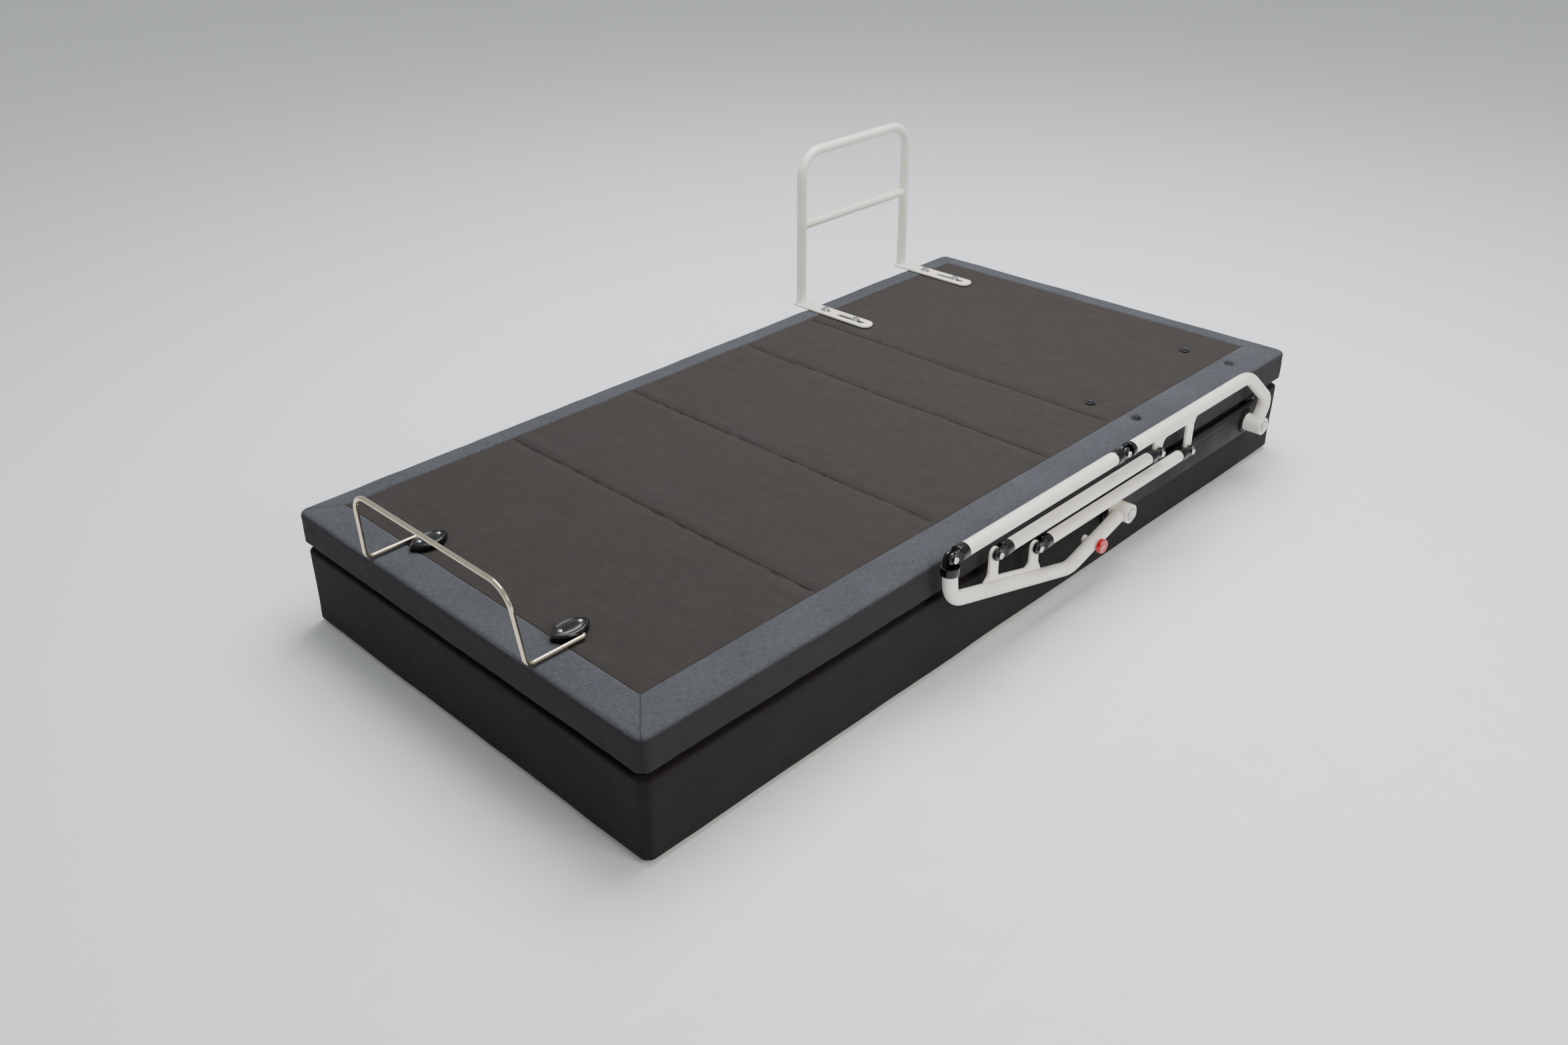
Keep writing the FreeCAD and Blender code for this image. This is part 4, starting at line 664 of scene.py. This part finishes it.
ivory_paint = painted_finish("ivory_paint", "f3eee3", "ebe4d6", 0.32, coat_weight=0.25, coat_roughness=0.18)
black_steel = painted_finish("black_steel", "0a0a0b", "101011", 0.55, specular_ior_level=0.2)
gloss_black = painted_finish("gloss_black", "060607", "0b0b0d", 0.22, 0.4, specular_ior_level=0.35,
                             coat_weight=0.15, coat_roughness=0.10)
drive_plastic = painted_finish("drive_plastic", "202225", "2a2c30", 0.5, 2.0)
glide_plastic = painted_finish("glide_plastic", "17181a", "1f2022", 0.55, 1.5)
black_screw = painted_finish("black_screw", "3a3b3d", "515255", 0.30, 0.5, metallic=0.85)
drive_tube = metal_finish("drive_tube", "b9bcc0", "9da1a6", 0.32, 0.25)
steel_rod = metal_finish("steel_rod", "cfd2d6", "b9bcc1", 0.16, 0.1)
zinc_steel = metal_finish("zinc_steel", "cdd0d3", "b9bcbf", 0.26, 0.04)
nickel = metal_finish("nickel", "e2d6c2", "c9b99d", 0.10, 0.05)
plywood = plywood_finish("plywood")
red_plastic = painted_finish("red_plastic", "c41f2f", "b01727", 0.22, 0.4, coat_weight=0.5,
                             coat_roughness=0.08)
finishes = {
    "cover_fabric": base_cloth, "plywood": plywood, "black_steel": black_steel, "zinc_steel": zinc_steel,
    "black_screw": black_screw, "ivory_paint": ivory_paint, "gloss_black": gloss_black, "nickel": nickel,
    "red_plastic": red_plastic, "drive_plastic": drive_plastic, "drive_tube": drive_tube,
    "steel_rod": steel_rod, "glide_plastic": glide_plastic,
}
for row in frame["record"]["subparts"]:
    mesh = frame["nodes"][row["node"]].data
    mesh.materials.clear()
    mesh.materials.append(finishes[row["material_slot"]])


# ---------------------------------------------------------------- retainer clips and their screws
# Two glossy black lens-shaped mouldings hold the ends of the mattress
# retainer. Each has a raised rim, a bushing round the wire, and two screws.


def right_round(rings, torus=False):
    """Closed surface through rings of points, each going right round: quads between neighbouring rings, and
    either a fan over the first and last ring or, on a torus, quads from the last ring to the first."""
    count, around = rings.shape[:2]
    points = rings.reshape(-1, 3)
    here = np.arange(count * around).reshape(count, around)
    if torus:
        here = np.concatenate([here, here[:1]])
    beside = np.roll(here, -1, axis=1)
    faces = np.stack([here[:-1], beside[:-1], beside[1:], here[1:]], -1).reshape(-1, 4)
    fans = np.zeros((0, 3), int)
    if not torus:
        points = np.concatenate([points, [rings[0].mean(0), rings[-1].mean(0)]])
        middle = np.full(around, count * around)
        fans = np.concatenate([np.stack([middle, beside[0], here[0]], -1),
                               np.stack([middle + 1, here[-1], beside[-1]], -1)])
    thirds = np.concatenate([faces[:, :3], faces[:, [0, 2, 3]], fans])
    a, b, c = (points[thirds[:, i]] for i in range(3))
    if (a * np.cross(b, c)).sum() < 0:
        faces, fans = faces[:, ::-1], fans[:, ::-1]
    return points, faces, fans


def moulded(name, shells, finish, body, replaced=()):
    """One object from closed shells; it rides on its body, smooth except on edges above 38 degrees."""
    points, faces, total = [], [], 0
    for shell_points, quads, fans in shells:
        points.append(shell_points)
        faces += (quads + total).tolist() + (fans + total).tolist()
        total += len(shell_points)
    mesh = bpy.data.meshes.new(name)
    mesh.from_pydata(np.concatenate(points), [], faces)
    mesh.polygons.foreach_set("use_smooth", np.ones(len(faces), bool))
    mesh.set_sharp_from_angle(angle=math.radians(38))
    mesh.materials.append(finishes[finish])
    made = placed(name, mesh)
    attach(made, body)
    if replaced:
        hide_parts(*replaced)


def turned(profile, centre, axis, steps=48):
    """Rings of a profile of (radius, height) in mm turned round an axis through a centre:
    centre + height * axis + radius * (cos t, sin t) across it."""
    radius, height = np.array(profile, float).T / 1000
    t = np.linspace(0, 2 * np.pi, steps, endpoint=False)
    first = np.roll(axis, 1)
    second = np.roll(axis, 2)
    ring = np.cos(t)[:, None] * first + np.sin(t)[:, None] * second
    return np.array(centre) + height[:, None, None] * np.array(axis) + radius[:, None, None] * ring[None]


clip_low, clip_half_long, clip_half_wide = 0.252, 0.040, 0.0235
screw_shifts, screw_seat = (-0.020, 0.022), 0.01405
wire_x, _, wire_z = hinge_place["retainer_flip"]
clip_profile = np.array([
    (30, 0), (3, 0), (1.2, 0.1), (0.3, 0.6), (0, 1.6), (0, 8.6), (0.3, 10.2), (1.1, 11.8), (2.4, 13.1),
    (4.0, 13.9), (5.2, 13.9), (6.2, 13.2), (7.0, 12.3), (7.8, 12.1), (11, 12.9), (15, 13.6), (19, 13.9),
    (30, 14.0)]) / 1000


def lens_shell(middle_x, middle_y):
    """A lens outline, two arcs that meet in softened tips, followed at each step of the clip's profile
    (distance in from the outline, height); a ring shrinks towards the middle as it goes in."""
    t = np.linspace(0, 2 * np.pi, 112, endpoint=False)
    bend = (clip_half_long ** 2 + clip_half_wide ** 2) / (2 * clip_half_wide)
    u = clip_half_long * np.cos(t)
    v = np.sqrt(np.maximum(bend ** 2 - u ** 2, 0)) - (bend - clip_half_wide)
    v = np.sign(np.sin(t)) * np.maximum(v, 0) * np.tanh(np.abs(np.sin(t)) * 9)
    outline = np.column_stack([u, v])
    reach = np.hypot(u, v)
    inset = np.minimum(clip_profile[:, :1], reach * 0.999)
    flat = outline[None] * (1 - inset / reach)[:, :, None]
    z = np.broadcast_to(clip_low + clip_profile[:, 1:2], flat.shape[:2])
    return np.dstack([flat[:, :, 0] + middle_x, flat[:, :, 1] + middle_y, z])


clip_shells, screw_shells = [], []
bushing_profile = [(5.0, 0), (6.6, 0), (7.3, 0.7), (7.3, 5.3), (6.6, 6), (5.0, 6)]
screw_profile = [(0.01, -2), (4.2, -2), (4.5, 0.1), (4.5, 0.5), (4.1, 1.1), (3.3, 1.7), (2.3, 2.0),
                 (1.5, 2.0), (1.2, 1.7), (1.0, 1.0), (0.01, 0.9)]
for clip_x, clip_y in clip_spots:
    clip_shells.append(right_round(lens_shell(clip_x, clip_y)))
    start = clip_y + math.copysign(clip_half_wide - 0.0040, clip_y)
    axis = (0.0, math.copysign(1.0, clip_y), 0.0)
    clip_shells.append(right_round(turned(bushing_profile, (wire_x, start, wire_z), axis), torus=True))
    for shift in screw_shifts:
        place = (clip_x + shift, clip_y, clip_low + screw_seat)
        screw_shells.append(right_round(turned(screw_profile, place, (0.0, 0.0, 1.0), 40)))
moulded("clip_mouldings", clip_shells, "gloss_black", "calf", ("retainer_clips",))
moulded("clip_screws", screw_shells, "zinc_steel", "calf", ("retainer_screws",))


# ---------------------------------------------------------------- side rail's end mouldings
# A glossy black moulding closes each end of the three rails: a flat eye on the
# pin, then a shank that grows into a collar round the tube.


def smooth_step(t):
    """3 t^2 - 2 t^3 between 0 and 1."""
    t = np.clip(t, 0, 1)
    return t * t * (3 - 2 * t)


eye_profile = [(4.3, -3.4), (4.9, -4.0), (10.6, -4.0), (11.9, -3.3), (12.5, -2.0), (12.5, 2.0), (11.9, 3.3),
               (10.6, 4.0), (4.9, 4.0), (4.3, 3.4)]
shank_steps = np.array([5.4, 5.6, 9, 12, 14, 15.5, 16.2, 17, 18, 19, 20, 21, 22, 24, 38.4, 39.4, 40,
                        40.01]) / 1000
shank_closing = np.array([0.8, 0.95] + [1] * 13 + [0.985, 0.95, 0.90])
eye_half_thick, eye_half_high = 0.0040, 0.0108
eye_y, rail_y = -0.5375, hinge_place["top_rail_turn"][1]


def rail_end(x, z, toward, radius):
    """An eye turned round the pin, and a shank of sections |y / a|^n + |z / b|^n = 1 along x, from the
    eye's flat oblong to a round collar: a, b, n and the middle of y all change by a smooth step."""
    eye = turned(eye_profile, (x, eye_y, z), (0.0, 1.0, 0.0), 56)
    grow = smooth_step((shank_steps - 0.0155) / 0.0055)
    half_y = (eye_half_thick + (radius - eye_half_thick) * grow) * shank_closing
    half_z = (eye_half_high + (radius - eye_half_high) * grow) * shank_closing
    power = 2 / (6 - 4 * grow)
    t = np.linspace(0, 2 * np.pi, 56, endpoint=False)
    across = np.sign(np.cos(t)) * np.abs(np.cos(t)) ** power[:, None] * half_y[:, None]
    up = np.sign(np.sin(t)) * np.abs(np.sin(t)) ** power[:, None] * half_z[:, None]
    middle = eye_y + (rail_y - eye_y) * grow
    lengthwise = np.broadcast_to(x + toward * shank_steps[:, None], across.shape)
    shank = np.dstack([lengthwise, middle[:, None] + across, z + up])
    return [right_round(eye, torus=True), right_round(shank)]


rail_reach = hinge_place["head_post_fold"][0] - hinge_place["rail_fold"][0]
for rail, radius in (("top", 0.0155), ("middle", 0.0140), ("low", 0.0140)):
    x, _, z = hinge_place[f"{rail}_rail_turn"]
    shells = rail_end(x, z, 1, radius) + rail_end(x + rail_reach, z, -1, radius)
    moulded(f"{rail}_rail_mouldings", shells, "gloss_black", f"{rail}_rail_body", (f"{rail}_rail_ends",))


# ---------------------------------------------------------------- release knob
# A red moulded button with a dished face on the sprung lock pin, held by one
# bright screw in its middle.

knob_place = (0.162, -0.550, 0.10637)
knob_axis = (0.0, -1.0, 0.0)
knob_profile = [(0.01, 0), (13.4, 0), (14.6, 0.5), (15, 1.5), (15, 7.0), (14.6, 8.6), (13.6, 9.7),
                (12.2, 10.0), (10.8, 9.7), (8.5, 8.7), (5.5, 8.1), (0.01, 8.0)]
knob_screw = [(0.01, 6), (3.6, 6), (3.8, 8.6), (3.5, 9.3), (2.6, 9.8), (1.5, 9.9), (1.2, 9.3), (0.01, 9.2)]
knob_shell = right_round(turned(knob_profile, knob_place, knob_axis, 64))
knob_screw_shell = right_round(turned(knob_screw, knob_place, knob_axis, 40))
moulded("release_button", [knob_shell], "red_plastic", "knob", ("release_knob",))
moulded("release_button_screw", [knob_screw_shell], "nickel", "knob")


# ---------------------------------------------------------------- parts with broken edges
# Sawn and pressed steel parts whose sharp edges are taken off before they are
# painted: the handle's foot plates, the rail's carrier and brackets, the bolts.


def broken_edges(name, node, body, width, segments=3, clamp=True):
    """Copy of a part: its loose triangles are merged and flat faces joined, then a bevel of a given width
    rounds each edge sharper than 30 degrees; clamp keeps it narrower than the smallest face beside it."""
    mesh = frame["nodes"][node].data.copy()
    mesh.name = name
    work = bmesh.new()
    work.from_mesh(mesh)
    bmesh.ops.remove_doubles(work, verts=work.verts, dist=1e-5)
    bmesh.ops.dissolve_limit(work, angle_limit=math.radians(0.5), verts=work.verts, edges=work.edges)
    work.to_mesh(mesh)
    work.free()
    mesh.polygons.foreach_set("use_smooth", np.ones(len(mesh.polygons), bool))
    made = placed(name, mesh)
    bevel = made.modifiers.new("bevel", "BEVEL")
    bevel.width = width
    bevel.segments = segments
    bevel.limit_method = "ANGLE"
    bevel.angle_limit = math.radians(30)
    bevel.use_clamp_overlap = clamp
    bevel.harden_normals = True
    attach(made, body)
    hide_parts(node)


broken_edges("handle_foot_plates", "assist_foot_plates", "back", 0.0018, 4, clamp=False)
broken_edges("carrier_bar", "rail_carrier", "back", 0.0010, clamp=False)
broken_edges("foot_post_brackets", "foot_post_ears", "foot_side_post", 0.0008)
broken_edges("head_post_brackets", "head_post_ears", "head_side_post", 0.0008)
broken_edges("foot_post_cap", "foot_post_end", "foot_side_post", 0.0012)
broken_edges("head_post_cap", "head_post_end", "head_side_post", 0.0012)
broken_edges("carrier_bolts", "rail_carrier_bolts", "back", 0.0005, 2)
broken_edges("pivot_bolts", "rail_pivot_bolts", "back", 0.0006, 2)
broken_edges("foot_post_rivets", "foot_post_pins", "foot_side_post", 0.0008, 3)
broken_edges("head_post_rivets", "head_post_pins", "head_side_post", 0.0008, 3)


# ---------------------------------------------------------------- floor and light
# A plain pale floor, one large soft light overhead and a weak one in front.

floor_mesh = bpy.data.meshes.new("floor")
floor_mesh.from_pydata([(-40, -40, -0.0004), (40, -40, -0.0004), (40, 40, -0.0004), (-40, 40, -0.0004)], [],
                       [(0, 1, 2, 3)])
floor = placed("floor", floor_mesh)
floor_mesh.materials.append(painted_finish("floor_paint", "eceeef", "eaeced", 0.7, 0.2))


def soft_light(name, place, aim, size, power, colour):
    """Square area light at a place, turned to its aim."""
    made = placed(name, bpy.data.lights.new(name, "AREA"))
    made.data.size = size
    made.data.energy = power
    made.data.color = colour
    turn = (Vector(aim) - Vector(place)).to_track_quat("-Z", "Y")
    made.matrix_world = Matrix.Translation(place) @ turn.to_matrix().to_4x4()


soft_light("overhead_light", (0.8, 0.2, 3.4), (0.1, 0, 0.2), 2.6, 196, (0.97, 0.98, 1.0))
soft_light("front_light", (-0.4, -3.4, 2.3), (0.1, -0.4, 0.2), 1.4, 60, (1.0, 0.98, 0.95))
world = bpy.data.worlds.new("room")
world.use_nodes = True
world.node_tree.nodes["Background"].inputs["Color"].default_value = (0.90, 0.93, 0.96, 1)
world.node_tree.nodes["Background"].inputs["Strength"].default_value = 0.56
bpy.context.scene.world = world
